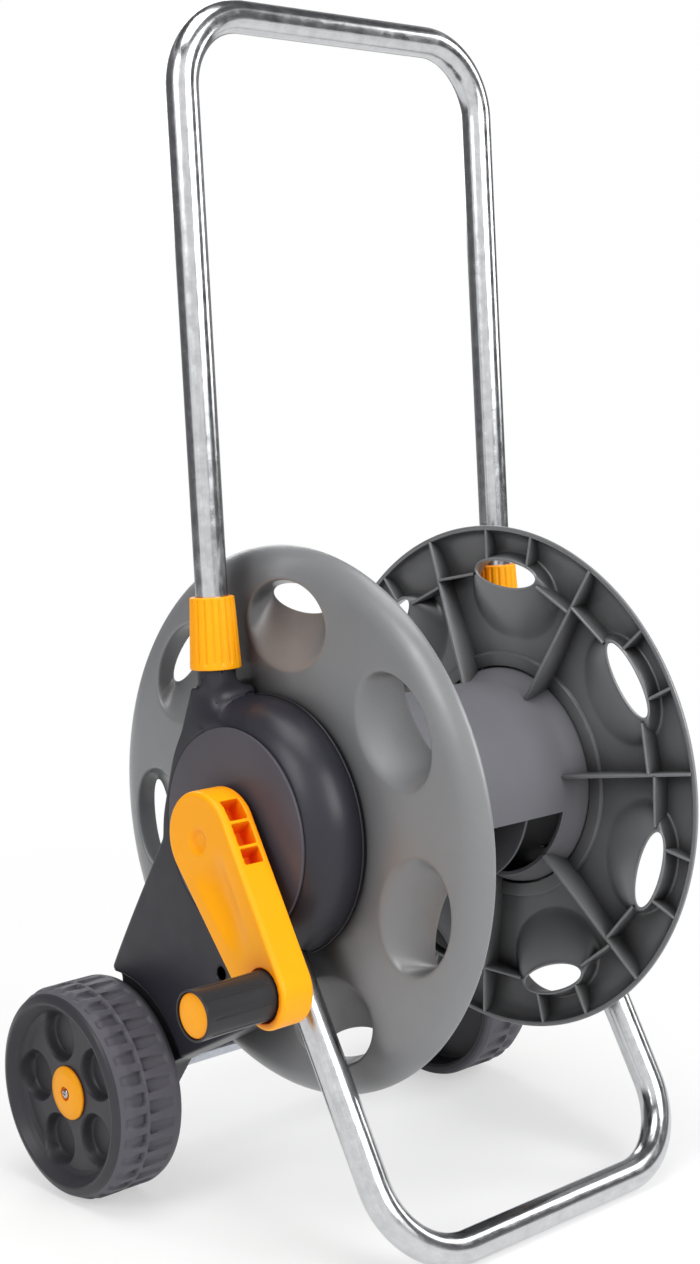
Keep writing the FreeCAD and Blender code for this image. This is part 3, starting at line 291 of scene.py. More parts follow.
def tidy_surface(thing, sharp):
    """Weld doubles, point the faces outwards and smooth all but the sharp edges."""
    work = bmesh.new()
    work.from_mesh(thing.data)
    bmesh.ops.remove_doubles(work, verts=work.verts, dist=2e-6)
    bmesh.ops.recalc_face_normals(work, faces=work.faces)
    work.to_mesh(thing.data)
    work.free()
    thing.data.shade_smooth()
    if sharp is not None:
        thing.data.set_sharp_from_angle(angle=math.radians(sharp))


def arc(before, corner, after, radius, steps):
    """Points of the tangent arc that rounds a corner, in two or three dimensions."""
    into = corner - before
    onward = after - corner
    into_len, onward_len = np.linalg.norm(into), np.linalg.norm(onward)
    into, onward = into / into_len, onward / onward_len
    turn = math.acos(float(np.clip(into @ onward, -1.0, 1.0)))
    if turn < 1e-3 or radius <= 0.0:
        return [corner]
    back = min(radius * math.tan(turn / 2.0), 0.49 * into_len, 0.49 * onward_len)
    radius = back / math.tan(turn / 2.0)
    inside = (onward - into) / np.linalg.norm(onward - into)
    hub = corner + inside * radius / math.cos(turn / 2.0)
    first, last = corner - into * back - hub, corner + onward * back - hub
    out = []
    for step in range(steps + 1):
        t = step / steps
        reach = math.sin((1 - t) * turn) * first + math.sin(t * turn) * last
        out.append(hub + reach / math.sin(turn))
    return out


def rounded(corners, steps=5, closed=True):
    """Flat polyline with its corners rounded, from (a, b, radius) corners."""
    places = [np.array(c[:2], float) for c in corners]
    out = []
    count = len(corners)
    for k, corner in enumerate(corners):
        if not closed and k in (0, count - 1):
            out.append(places[k])
        else:
            out += arc(places[k - 1], places[k], places[(k + 1) % count], corner[2], steps)
    return np.array(out)


def fine(line, longest):
    """The same polyline with its long runs divided."""
    out = []
    for a, b in zip(line[:-1], line[1:]):
        parts = max(1, int(math.ceil(np.linalg.norm(b - a) / longest)))
        for k in range(parts):
            out.append(a + (b - a) * k / parts)
    out.append(line[-1])
    return np.array(out)


def band(rows, count, loop=False):
    """Quads between rows of points.  Every row closes on itself; with loop the last row also
    joins the first."""
    faces = []
    for i in range(rows if loop else rows - 1):
        low, high = i * count, (i + 1) % rows * count
        for k in range(count):
            n = (k + 1) % count
            faces.append((low + k, low + n, high + n, high + k))
    return faces


def lathe(line, count, shape=None):
    """Closed surface of revolution about x.  shape(x, r, angle) may move the points."""
    angle = np.arange(count) * TAU / count
    x = np.repeat(line[:, :1], count, 1)
    r = np.repeat(line[:, 1:], count, 1)
    a = np.repeat(angle[None, :], len(line), 0)
    if shape is not None:
        x, r = shape(x, r, a)
    points = np.stack([x, -r * np.sin(a), r * np.cos(a)], -1).reshape(-1, 3)
    return points, band(len(line), count, loop=True)


def smooth(value, low, high):
    """0 below low, 1 above high and an S-shaped step between them."""
    t = np.clip((value - low) / (high - low), 0.0, 1.0)
    return t * t * (3.0 - 2.0 * t)


def moved(points, x=0.0, y=0.0, z=0.0):
    return points + np.array([x, y, z])


def gathered(pieces):
    """One point list and face list from several."""
    points, faces, base = [], [], 0
    for some, quads in pieces:
        points.append(some)
        faces += [tuple(i + base for i in quad) for quad in quads]
        base += len(some)
    return np.vstack(points), faces


def tube(path, radius, count=40):
    """Round bar along a line of points, with its length and turn as UV."""
    path = np.asarray(path, float)
    tangent = np.gradient(path, axis=0)
    tangent /= np.linalg.norm(tangent, axis=1)[:, None]
    side = np.cross(tangent[0], (1.0, 0.0, 0.0))
    if np.linalg.norm(side) < 0.1:
        side = np.cross(tangent[0], (0.0, 1.0, 0.0))
    points, uv, run = [], [], 0.0
    for k, spot in enumerate(path):
        side = side - tangent[k] * (side @ tangent[k])
        side /= np.linalg.norm(side)
        other = np.cross(tangent[k], side)
        if k:
            run += np.linalg.norm(spot - path[k - 1])
        for n in range(count):
            angle = TAU * n / count
            points.append(spot + radius * (math.cos(angle) * side + math.sin(angle) * other))
            uv.append((n / count, run * MM * 10.0))
    faces = band(len(path), count)
    faces.append(tuple(range(count)))
    last = (len(path) - 1) * count
    faces.append(tuple(reversed(range(last, last + count))))
    return np.array(points), faces, uv


RIB_EASE = 0.5  # rounding of a rib's free edge
RIB_LEAST = 1.5  # a rib stops where it would be lower than this


def bar(start, end, thick, low, high, stations):
    """Rib between two (y, z) spots, from x = low to high(y, z), with eased free edges.  low may be
    a pair, for a free edge that slopes.  Where high comes below low there is no rib."""
    start, end = np.array(start, float), np.array(end, float)
    along = (end - start) / np.linalg.norm(end - start)
    across = np.array([-along[1], along[0]]) * thick / 2.0
    places = [start + (end - start) * k / (stations - 1) for k in range(stations)]
    tops = [high(y, z) for y, z in places]
    lows = np.linspace(*(low if isinstance(low, tuple) else (low, low)), stations)
    runs, run = [], []
    for place, top, foot in zip(places, tops, lows):
        if top > foot + RIB_LEAST:
            run.append((place, top, foot))
        elif run:
            runs.append(run)
            run = []
    runs.append(run)
    blocks = []
    for run in runs:
        if len(run) < 2:
            continue
        points, n = [], 6
        for (y, z), top, foot in run:
            eased = foot + RIB_EASE
            for s, x in ((-1, top), (-1, eased), (-0.6, foot), (0.6, foot), (1, eased), (1, top)):
                points.append((x, y + across[0] * s, z + across[1] * s))
        last = (len(run) - 1) * n
        faces = band(len(run), n) + [tuple(range(n)), tuple(range(last, last + n))]
        blocks.append((np.array(points), faces))
    return gathered(blocks) if blocks else (np.zeros((0, 3)), [])


def softened(thing, voxel, passes, keep):
    """Ease every edge of a closed mesh, as a moulding has them; sizes in millimetres."""
    work = bmesh.new()
    work.from_mesh(thing.data)
    bmesh.ops.remove_doubles(work, verts=work.verts, dist=1e-6)
    work.to_mesh(thing.data)
    work.free()
    step = thing.modifiers.new("voxels", "REMESH")
    step.mode = "VOXEL"
    step.voxel_size = voxel * MM
    ease = thing.modifiers.new("ease", "SMOOTH")
    ease.factor = 0.5
    ease.iterations = passes
    thin = thing.modifiers.new("thin", "DECIMATE")
    thin.ratio = keep
    settle(thing)


def settle(thing):
    """Apply all modifiers."""
    bpy.context.view_layer.update()
    evaluated = thing.evaluated_get(bpy.context.evaluated_depsgraph_get())
    final = bpy.data.meshes.new_from_object(evaluated)
    thing.modifiers.clear()
    thing.data = final
    final.shade_smooth()


def carved(thing, cutter):
    """Take a closed cutter mesh out of a piece."""
    step = thing.modifiers.new("carve", "BOOLEAN")
    step.operation = "DIFFERENCE"
    step.solver = "EXACT"
    step.object = cutter
    settle(thing)
    bpy.data.objects.remove(cutter)


def remeshed(node, voxel, passes, keep):
    """Piece with the CAD node's shape and eased edges."""
    thing = bpy.data.objects.new("moulded_" + node, frame["nodes"][node].data.copy())
    bpy.context.scene.collection.objects.link(thing)
    softened(thing, voxel, passes, keep)
    thing.data.materials.clear()
    thing.data.materials.append(FINISH[SLOT_OF[node]])
    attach(thing, BODY_OF[node])
    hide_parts(node)
    return thing


# ------------------------ drum flanges

SCOOPS = 7
PHASE = math.radians(5.5)
HALF = math.pi / SCOOPS
WEB_LINE = [  # outer face of the flange: (radius, x)
    (84.0, 115.5), (90.0, 115.5), (120.0, 114.8), (150.0, 113.8), (160.0, 113.4), (166.0, 113.0),
    (170.0, 112.5), (174.0, 111.7), (178.0, 110.5), (182.0, 108.7), (185.0, 106.6), (187.5, 104.0),
    (189.2, 101.8), (190.0, 100.2),
]
WEB_T = 2.5
MOUTH = (138.0, 30.0, 40.0)  # ring radius, radial and tangential half sizes
THROAT = (155.0, 9.4, 29.5)
THROAT_X = 99.4
GRID_R = (91.0, 173.0)
ARC_STEPS = 30
SIDE_STEPS = 20
RIM_X = 99.0  # free edge of the rim
RIB_T, SIDE_RIB_T = 2.4, 2.2
RIB_ROOT = 1.3  # how deep a rib goes into the skin
RIB_END_R = 187.3
RIB_X, CHORD_RIB_X = (91.5, 98.4), (98.4, 96.0)  # free edges, from start to end
BARREL_R, FLARE_R, BARREL_END_X, BARREL_T = 74.0, 82.0, 116.8, 3.0


def web_x(r):
    line = np.array(WEB_LINE)
    return np.interp(r, line[:, 0], line[:, 1])


def sector_loop():
    """Points round one sector of the web, as (radial, tangential) about the scoop's middle line."""
    low, high = GRID_R
    loop = []
    for k in range(ARC_STEPS):
        a = -HALF + 2 * HALF * k / ARC_STEPS
        loop.append((high * math.cos(a), high * math.sin(a)))
    for k in range(SIDE_STEPS):
        r = high + (low - high) * k / SIDE_STEPS
        loop.append((r * math.cos(HALF), r * math.sin(HALF)))
    for k in range(ARC_STEPS):
        a = HALF - 2 * HALF * k / ARC_STEPS
        loop.append((low * math.cos(a), low * math.sin(a)))
    for k in range(SIDE_STEPS):
        r = low + (high - low) * k / SIDE_STEPS
        loop.append((r * math.cos(HALF), -r * math.sin(HALF)))
    return np.array(loop)


def ellipse(spec, angle, grow=0.0):
    centre, radial, tangential = spec
    return np.stack([centre + (radial + grow) * np.cos(angle),
                     (tangential + grow) * np.sin(angle)], -1)


def scoop_layers(grow, inset):
    """Rings of (radial, tangential, x) from the sector's edge into the scoop's throat.  grow
    widens the funnel and inset moves the web, for the wall's other side."""
    loop = sector_loop()
    angle = np.arctan2(loop[:, 1] / MOUTH[2], (loop[:, 0] - MOUTH[0]) / MOUTH[1])
    ease = 2.0
    lip = ellipse(MOUTH, angle, grow + ease)
    layers = []
    for w in (0.0, 0.12, 0.27, 0.44, 0.6, 0.75, 0.88, 1.0):
        flat = loop + (lip - loop) * w
        layers.append(np.column_stack([flat, web_x(np.hypot(flat[:, 0], flat[:, 1])) - inset]))
    mouth = ellipse(MOUTH, angle, grow)
    throat = ellipse(THROAT, angle, grow)
    mouth_x = web_x(np.hypot(mouth[:, 0], mouth[:, 1])) - inset

    def funnel(w):
        flat = mouth + (throat - mouth) * w
        deep = 0.45 * w + 0.55 * math.sin(w * math.pi / 2.0)
        return np.column_stack([flat, mouth_x + (THROAT_X - mouth_x) * deep])

    start, corner, after = layers[-1], funnel(0.0), funnel(0.16)
    for t in (0.17, 0.33, 0.5, 0.67, 0.83):
        layers.append((1 - t) ** 2 * start + 2 * t * (1 - t) * corner + t * t * after)
    for w in (0.16, 0.26, 0.38, 0.5, 0.62, 0.74, 0.86, 0.95, 1.0):
        layers.append(funnel(w))
    return layers


def flange_sector():
    """Outer face, funnel, oval hole's edge and inner face of one sector."""
    outer = scoop_layers(0.0, 0.0)
    inner = scoop_layers(WEB_T, WEB_T)
    lip = (outer[-1] + inner[-1]) / 2.0
    lip[:, 2] = THROAT_X - 0.7
    layers = outer + [lip] + inner[::-1]
    return np.vstack(layers), band(len(layers), len(lip))


def turned_about(points, angle):
    """(radial, tangential, x) points turned to an angle from the top, as (x, y, z)."""
    radial, tangential, x = points.T
    y = -radial * math.sin(angle) - tangential * math.cos(angle)
    z = radial * math.cos(angle) - tangential * math.sin(angle)
    return np.column_stack([x, y, z + AXIS_Z])


def flange_shape():
    """Seven sectors, the rolled rim and the hub."""
    blocks = []
    sector, quads = flange_sector()
    for k in range(SCOOPS):
        blocks.append((turned_about(sector, PHASE + k * 2 * HALF), quads))
    low, high = GRID_R
    high_x, low_x = float(web_x(high)), float(web_x(low))
    rim_line = [(high_x, high)] + [(x, r) for r, x in WEB_LINE if r > high]
    rim_line += [(99.6, 190.0), (99.1, 189.7), (RIM_X, 189.0), (RIM_X, 187.2), (99.3, 186.6),
                 (101.0, 186.2), (103.5, 185.2), (106.0, 183.0), (107.8, 179.5), (108.9, 176.0),
                 (high_x - WEB_T, high)]
    hub_line = [(low_x - WEB_T, low), (113.0, 84.2), (113.3, 83.5), (117.0, 83.5), (117.0, 19.0),
                (127.0, 19.0), (127.0, 22.0), (119.0, 22.0), (119.0, 85.4), (118.4, 86.0),
                (115.8, 86.0), (115.5, 86.5), (low_x, low)]
    count = ARC_STEPS * SCOOPS
    for line in (rim_line, hub_line):
        points, faces = lathe(np.array(line, float), count)
        turn = PHASE - HALF
        y, z = points[:, 1].copy(), points[:, 2].copy()
        points[:, 1] = y * math.cos(turn) - z * math.sin(turn)
        points[:, 2] = y * math.sin(turn) + z * math.cos(turn)
        blocks.append((moved(points, z=AXIS_Z), faces[:-count]))
    return gathered(blocks)


def spot(radius, angle):
    return (-radius * math.sin(angle), AXIS_Z + radius * math.cos(angle))


def funnel_x(y, z):
    """Height of the flange's outer skin at a place, funnels included; below zero in a hole."""
    angle = math.atan2(-y, z - AXIS_Z) - PHASE
    angle = (angle + HALF) % (2 * HALF) - HALF
    r = math.hypot(y, z - AXIS_Z)
    a, b = r * math.cos(angle), r * math.sin(angle)
    skin = float(web_x(r))
    best = skin
    for w in np.linspace(0.0, 1.0, 41):
        centre = MOUTH[0] + (THROAT[0] - MOUTH[0]) * w
        radial = MOUTH[1] + (THROAT[1] - MOUTH[1]) * w + 0.9
        tangential = MOUTH[2] + (THROAT[2] - MOUTH[2]) * w + 0.9
        if math.hypot((a - centre) / radial, b / tangential) < 1.0:
            deep = 0.45 * w + 0.55 * math.sin(w * math.pi / 2.0)
            best = skin + (THROAT_X - skin) * deep
    inside = math.hypot((a - THROAT[0]) / (THROAT[1] + 1.2), b / (THROAT[2] + 1.2)) < 1.0
    return -1.0 if inside else best


def rib_root(y, z):
    """Where a rib ends inside the flange's skin."""
    return funnel_x(y, z) - RIB_ROOT


def flange_rib_shape():
    """Radial ribs, staggered chord ribs beside the holes, two short ribs from each hole to the rim
    and the low step round the barrel."""
    blocks = []
    for k in range(SCOOPS):
        mid = PHASE + k * 2 * HALF
        edge = mid + HALF
        blocks.append(bar(spot(BARREL_R + 0.4, edge), spot(RIB_END_R, edge), RIB_T,
                          RIB_X, rib_root, 60))
        for way in (-1, 1):
            short = mid + way * math.radians(7.0)
            blocks.append(bar(spot(160.0, short), spot(RIB_END_R, short), SIDE_RIB_T,
                              RIM_X, rib_root, 40))
            far = mid + way * (HALF - 0.006)
            near = mid + way * math.radians(9.0)
            meet = 153.5 - 2.6 * way
            blocks.append(bar(spot(THROAT[0], near), spot(meet, far), SIDE_RIB_T,
                              CHORD_RIB_X, rib_root, 50))
    step = rounded([(113.2, 83.2, 0), (110.7, 83.2, 0.5), (110.7, 93.0, 1.0), (113.2, 94.6, 0)], 4)
    step_points, step_faces = lathe(step, 200)
    blocks.append((moved(step_points, z=AXIS_Z), step_faces))
    return gathered(blocks)


flange_points, flange_faces = flange_shape()
rib_points, rib_faces = flange_rib_shape()
for node, side in sides("flange"):
    add_piece("moulded_" + node, flange_points, flange_faces, [node], side)
    add_piece("ribs_" + node, rib_points, rib_faces, [node], side, sharp=50.0)


# ------------------------ barrel

WINDOW = (math.radians(103.0), math.radians(192.0))
WINDOW_X = (-22.0, 94.0)
BARREL_RINGS = (-45.0, 56.0)  # near faces of the rings inside


def make_barrel():
    """Barrel skin with smooth flares, the hose window and two inner rings."""
    outer = rounded([(-BARREL_END_X, FLARE_R, 0), (-112.0, FLARE_R, 6), (-98.0, BARREL_R, 22),
                     (98.0, BARREL_R, 22), (112.0, FLARE_R, 6), (BARREL_END_X, FLARE_R, 0)],
                    8, closed=False)
    extra = np.array([(x, BARREL_R) for x in np.arange(-90.0, 90.5, 4.0)])
    window_end_r = np.interp(WINDOW_X[1], outer[:, 0], outer[:, 1])
    line = np.vstack([outer, extra, [(WINDOW_X[0], BARREL_R), (WINDOW_X[1], window_end_r)]])
    line = line[np.argsort(line[:, 0])]
    line = line[np.concatenate([[True], np.diff(line[:, 0]) > 1e-4])]
    turns = np.unique(np.concatenate([np.linspace(0.0, TAU, 181)[:-1], WINDOW]))
    inner = line.copy()
    inner[:, 1] -= BARREL_T
    rows, count = len(line), len(turns)
    points = []
    for x, r in np.vstack([line, inner]):
        points += [(x, -r * math.sin(a), AXIS_Z + r * math.cos(a)) for a in turns]

    def open_cell(i, k):
        a = turns[k] + 1e-3
        x = (line[i, 0] + line[i + 1, 0]) / 2.0
        return WINDOW[0] < a < WINDOW[1] and WINDOW_X[0] < x < WINDOW_X[1]

    faces, inside = [], []
    edges = {}
    for i in range(rows - 1):
        for k in range(count):
            if open_cell(i, k):
                continue
            n = (k + 1) % count
            quad = (i * count + k, i * count + n, (i + 1) * count + n, (i + 1) * count + k)
            faces.append(quad)
            inside.append(tuple(v + rows * count for v in reversed(quad)))
            for v, w in zip(quad, quad[1:] + quad[:1]):
                edges[(v, w)] = (w, v) in edges
                if (w, v) in edges:
                    edges[(w, v)] = True
    for (v, w), shared in edges.items():
        if not shared:
            faces.append((w, v, v + rows * count, w + rows * count))
    blocks = [(np.array(points), faces + inside)]
    for x in BARREL_RINGS:
        ring = rounded([(x, 50.0, 0.6), (x + 2.4, 50.0, 0.6), (x + 2.4, 72.5, 0), (x, 72.5, 0)], 3)
        ring_points, ring_faces = lathe(ring, 120)
        blocks.append((moved(ring_points, z=AXIS_Z), ring_faces))
    points, faces = gathered(blocks)
    barrel = add_piece("moulded_drum_barrel", points, faces, ["drum_barrel"])
    # Painted shade: inward faces and the inner rings take the darker copy of the barrel's grey.
    barrel.data.materials.append(BARREL_SHADED_COPY)
    for face in barrel.data.polygons:
        y, z = face.center.y - ORIGIN[1], face.center.z - AXIS_Z * MM
        inward = face.normal.y * y + face.normal.z * z < 0.0
        face.material_index = 1 if inward or math.hypot(y, z) / MM < BARREL_R - 1.0 else 0
    edge = barrel.modifiers.new("edge", "BEVEL")
    edge.width = 0.7 * MM
    edge.segments = 2
    edge.limit_method = "ANGLE"
    edge.angle_limit = math.radians(50.0)


make_barrel()


# ------------------------ wheels

LUGS = 32
WHEEL_R = 77.3
TREAD_FROM_R = 73.6  # the tread's paler material, a lit copy of the wheel's plastic as painted light, starts here
POCKETS, POCKET_RING_R, POCKET_DEPTH = 5, 41.6, 8.0
POCKET_TURN = math.radians(-13.6)


def wheel_relief(x, r, a):
    """Two staggered rows of tread pockets either side of a ridge, and five dished pockets."""
    pitch = TAU / LUGS
    depth = np.zeros_like(x)
    for low, high, phase, deep_at in ((187.0, 203.5, 0.25, 187.0), (163.5, 183.6, 0.75, 183.6)):
        away = np.abs((a / pitch - phase + 0.5) % 1.0 - 0.5) * pitch * WHEEL_R
        run = np.abs(x - deep_at) / (high - low)
        half = 4.6 - 1.3 * run
        along = smooth(x, low - 0.6, low + 0.6) * (1.0 - smooth(x, high - 0.6, high + 0.6))
        within = 1.0 - smooth(away, half - 0.8, half + 0.5)
        depth = np.maximum(depth, within * along * (3.0 - 1.9 * run))
    on_tread = smooth(r, 74.0, 76.0)
    r = r - depth * on_tread
    on_face = smooth(x, 198.0, 199.5) * smooth(r, 21.0, 23.0) * (1.0 - smooth(r, 60.5, 62.0))
    sunk = np.zeros_like(x)
    for k in range(POCKETS):
        turn = POCKET_TURN + k * TAU / POCKETS
        across = r * np.sin(a - turn)
        out = r * np.cos(a - turn) - POCKET_RING_R
        away = np.hypot(across, out)
        sunk = np.maximum(sunk, 1.0 - smooth(away, 15.4, 19.4))
    return x - POCKET_DEPTH * sunk * on_face, r


def socket(x, r, a):
    """Four-armed socket in the middle of a screw's head."""
    return x, r * np.where(r < 1.95, 0.62 + 0.38 * np.cos(4.0 * a), 1.0)


def make_wheels():
    """Wheels, hub caps and the screws let into the caps."""
    line = rounded([
        (155.5, 6.7, 0), (155.5, 18.0, 0.8), (176.0, 18.0, 1.5), (176.0, 67.5, 2.0),
        (157.5, 68.3, 1.5), (155.5, 70.5, 1.5), (155.8, 75.8, 2.0), (160.0, WHEEL_R, 4.0),
        (199.5, WHEEL_R, 10.0), (208.6, 72.6, 5.0), (211.0, 66.6, 2.4), (205.0, 61.6, 1.6),
        (202.0, 59.5, 1.2), (200.0, 56.0, 1.5), (200.0, 18.5, 0.6), (195.5, 18.0, 0.2),
        (195.5, 6.7, 0),
    ], 6)
    line = fine(np.vstack([line, line[:1]]), 1.15)[:-1]
    points, faces = lathe(line, LUGS * 14, wheel_relief)
    points = moved(points, y=AXLE_Y, z=AXLE_Z)
    for node, side in sides("wheel"):
        wheel = add_piece("moulded_" + node, points, faces, [node], side, sharp=60.0)
        # Painted light: faces out on the tread take the paler, lit copy of the wheel's plastic.
        wheel.data.materials.append(TREAD_LIT_COPY)
        for face in wheel.data.polygons:
            y, z = face.center.y - ORIGIN[1] - AXLE_Y * MM, face.center.z - AXLE_Z * MM
            face.material_index = 1 if math.hypot(y, z) > TREAD_FROM_R * MM else 0
    cap = rounded([(195.8, 0.02, 0), (195.8, 17.0, 0.3), (200.4, 17.0, 0.2), (200.4, 19.6, 0.3),
                   (202.0, 19.4, 1.2), (203.4, 14.5, 4.0), (204.0, 9.0, 4.0), (204.1, 5.2, 0.5),
                   (202.2, 4.6, 0.3), (202.2, 0.02, 0)], 5)
    points, faces = lathe(cap, 96)
    points = moved(points, y=AXLE_Y, z=AXLE_Z)
    for node, side in sides("hub_cap"):
        add_piece("moulded_" + node, points, faces, [node], side)
    head = rounded([(201.8, 0.02, 0), (201.8, 3.5, 0.2), (204.0, 3.4, 0.9), (204.6, 1.9, 0.2),
                    (203.1, 1.2, 0.2), (203.0, 0.02, 0)], 4)
    points, faces = lathe(head, 48, socket)
    points = moved(points, y=AXLE_Y, z=AXLE_Z)
    other = points * np.array([-1.0, 1.0, 1.0])
    both = gathered([(points, faces), (other, [tuple(reversed(face)) for face in faces])])
    add_piece("screw_heads_hub_caps", *both, ["hub_cap_screws"])


make_wheels()


# ------------------------ crank and grip

CRANK_TURN = math.radians(139.0)
CRANK_REACH = 115.0
HUB_R, END_R = 33.0, 22.5
FACE_X, BACK_X, CRANK_SLOPE = 184.5, 159.0, 0.1


def crank_face(s, w):
    """Outer face of the arm: leaning plane, long thumb hollow and round dimple."""
    width = np.interp(s, (10.0, 90.0), (21.0, 11.0))
    deep = 5.0 * smooth(s, 10.0, 32.0) * (1.0 - smooth(s, 44.0, 92.0))
    share = np.clip(np.abs(w + 1.0) / width, 0.0, 1.0)
    hollow = deep * (1.0 - share ** 2) ** 1.5
    dimple = 2.6 * (1.0 - smooth(np.hypot(s, w), 4.5, 9.8))
    return FACE_X + CRANK_SLOPE * np.maximum(s, 0.0) - hollow - dimple


def crank_outline():
    """Pairs of outline and middle-line points round the arm, as (s, w)."""
    lean = math.asin((HUB_R - END_R) / CRANK_REACH)
    pairs = []
    for t in np.linspace(-(math.pi / 2 + lean), math.pi / 2 + lean, 81)[:-1]:
        pairs.append(((-HUB_R * math.cos(t), HUB_R * math.sin(t)), (0.0, 0.0)))
    start = np.array([HUB_R * math.sin(lean), HUB_R * math.cos(lean)])
    end = np.array([CRANK_REACH + END_R * math.sin(lean), END_R * math.cos(lean)])
    for t in np.linspace(0.0, 1.0, 61)[:-1]:
        pairs.append((tuple(start + (end - start) * t), (CRANK_REACH * t, 0.0)))
    for t in np.linspace(math.pi / 2 - lean, -(math.pi / 2 - lean), 61)[:-1]:
        pairs.append(((CRANK_REACH + END_R * math.cos(t), END_R * math.sin(t)), (CRANK_REACH, 0.0)))
    flip = np.array([1.0, -1.0])
    for t in np.linspace(1.0, 0.0, 61)[:-1]:
        pairs.append((tuple((start + (end - start) * t) * flip), (CRANK_REACH * t, 0.0)))
    return np.array([p[0] for p in pairs]), np.array([p[1] for p in pairs])


def on_arm(s, w, x):
    """Arm coordinates turned to the crank's place at rest."""
    y = w * math.cos(CRANK_TURN) - s * math.sin(CRANK_TURN)
    z = w * math.sin(CRANK_TURN) + s * math.cos(CRANK_TURN)
    return np.stack([x + 0.0 * y, y, z + AXIS_Z], -1)


def block(s0, s1, w0, w1, x0, x1, turn=0.0):
    """Six-sided cutter in arm coordinates, leaning with the arm, turned about the spindle."""
    points = []
    for s in (s0, s1):
        for w in (w0, w1):
            for x in (x0, x1):
                lean = CRANK_SLOPE * max(s, 0.0)
                a = s * math.cos(turn) - w * math.sin(turn)
                b = s * math.sin(turn) + w * math.cos(turn)
                points.append(on_arm(np.array(a), np.array(b), np.array(x + lean)))
    faces = [(0, 1, 3, 2), (4, 6, 7, 5), (0, 4, 5, 1), (2, 3, 7, 6), (0, 2, 6, 4), (1, 5, 7, 3)]
    return np.array(points), faces


def bare_object(name, points, faces, side):
    """Helper object in metres, with no material and no place in the model yet."""
    place = np.asarray(points, float) * MM
    place[:, 0] *= side
    mesh = bpy.data.meshes.new(name)
    mesh.from_pydata((place + ORIGIN).tolist(), [], [tuple(map(int, f)) for f in faces])
    thing = bpy.data.objects.new(name, mesh)
    bpy.context.scene.collection.objects.link(thing)
    tidy_surface(thing, None)
    return thing


def make_crank():
    """Crank arm with its rounded faces, then its open pockets and the grip's seat cut out."""
    edge, spine = crank_outline()
    reach = np.linalg.norm(edge - spine, axis=1)[:, None]
    rings = []
    for f in (0.0, 0.08, 0.16, 0.24, 0.32, 0.4, 0.48, 0.56, 0.64, 0.71, 0.78, 0.84):
        rings.append((f * reach, "face", 0.0))
    for turn in np.linspace(0.0, math.pi / 2, 6):
        rings.append((reach - 3.2 + 3.2 * math.sin(turn), "face", 3.2 * (1.0 - math.cos(turn))))
    for turn in np.linspace(math.pi / 2, 0.0, 4):
        rings.append((reach - 1.5 + 1.5 * math.sin(turn), "back", 1.5 * (1.0 - math.cos(turn))))
    for f in (0.6, 0.0):
        rings.append((f * reach, "back", 0.0))
    points = []
    way = (edge - spine) / reach
    for size, kind, drop in rings:
        flat = spine + way * size
        if kind == "face":
            x = crank_face(flat[:, 0], flat[:, 1]) - drop
        else:
            x = BACK_X + CRANK_SLOPE * np.maximum(flat[:, 0], 0.0) + drop
        points.append(on_arm(flat[:, 0], flat[:, 1], x))
    faces = band(len(rings), len(edge))
    arm = bare_object("moulded_crank_arm", np.vstack(points), faces, -1)
    low, high = BACK_X + 4.5, FACE_X - 6.0
    cuts = [block(26.5, 37.5, 16.0, 50.0, low, high), block(8.6, 24.2, 17.0, 50.0, low, high),
            block(-9.5, 6.3, 17.0, 50.0, low, high),
            block(-50.0, -25.5, -14.0, 12.0, low + 1.0, high - 1.0, math.radians(42.0))]
    seat = np.array([(191.5, 0.02), (191.5, 17.4), (215.0, 17.4), (215.0, 0.02)])
    cup, cup_faces = lathe(seat, 96)
    centre_y, centre_z = spot(CRANK_REACH, CRANK_TURN)
    cuts.append((moved(cup, y=centre_y, z=centre_z), cup_faces))
    points, faces = gathered(cuts)
    carved(arm, bare_object("cutter", points, faces, -1))
    softened(arm, 0.55, 5, 0.35)
    arm.data.materials.clear()
    arm.data.materials.append(FINISH["yellow"])
    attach(arm, BODY_OF["crank_arm"])
    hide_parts("crank_arm")


def grip_relief(x, r, a):
    """Eight shallow grooves along the grip and a slight waist."""
    away = np.abs((a / (TAU / 8) + 0.5) % 1.0 - 0.5) * (TAU / 8) * 16.4
    along = smooth(x, 198.0, 201.0) * (1.0 - smooth(x, 244.0, 247.0))
    groove = 0.55 * (1.0 - smooth(away, 0.3, 1.1)) * along * smooth(r, 15.0, 16.0)
    waist = 0.35 * np.sin(np.clip((x - 192.0) / 60.0, 0.0, 1.0) * math.pi)
    return x, r - groove - waist * smooth(r, 14.0, 16.0)


def make_grip():
    """Grip sleeve and the pin whose round head closes it."""
    y, z = spot(CRANK_REACH, CRANK_TURN)
    line = rounded([(191.8, 5.1, 0), (191.8, 16.4, 0.5), (251.8, 16.4, 1.6), (251.6, 14.9, 0.3),
                    (248.3, 14.8, 0), (248.3, 5.1, 0)], 5)
    line = fine(np.vstack([line, line[:1]]), 1.5)[:-1]
    points, faces = lathe(line, 192, grip_relief)
    add_piece("moulded_grip_sleeve", moved(points, y=y, z=z), faces, ["grip_sleeve"], -1)
    line = rounded([(175.5, 0.02, 0), (175.5, 5.0, 0.3), (248.6, 5.0, 0), (248.6, 14.5, 0.2),
                    (250.6, 14.5, 0.9), (251.3, 9.0, 6.0), (251.4, 0.02, 0)], 5)
    points, faces = lathe(line, 96)
    add_piece("moulded_grip_pin", moved(points, y=y, z=z), faces, ["grip_pin"], -1)


make_crank()
make_grip()


# ------------------------ side frames and covers

SHOULDER = (146.0, 13.0, 82.0)  # where the shoulder meets the boss, z from the drum's axis
MELT_R = 24.0
MELT_FROM_X = 128.0
MELT_PASSES = 60


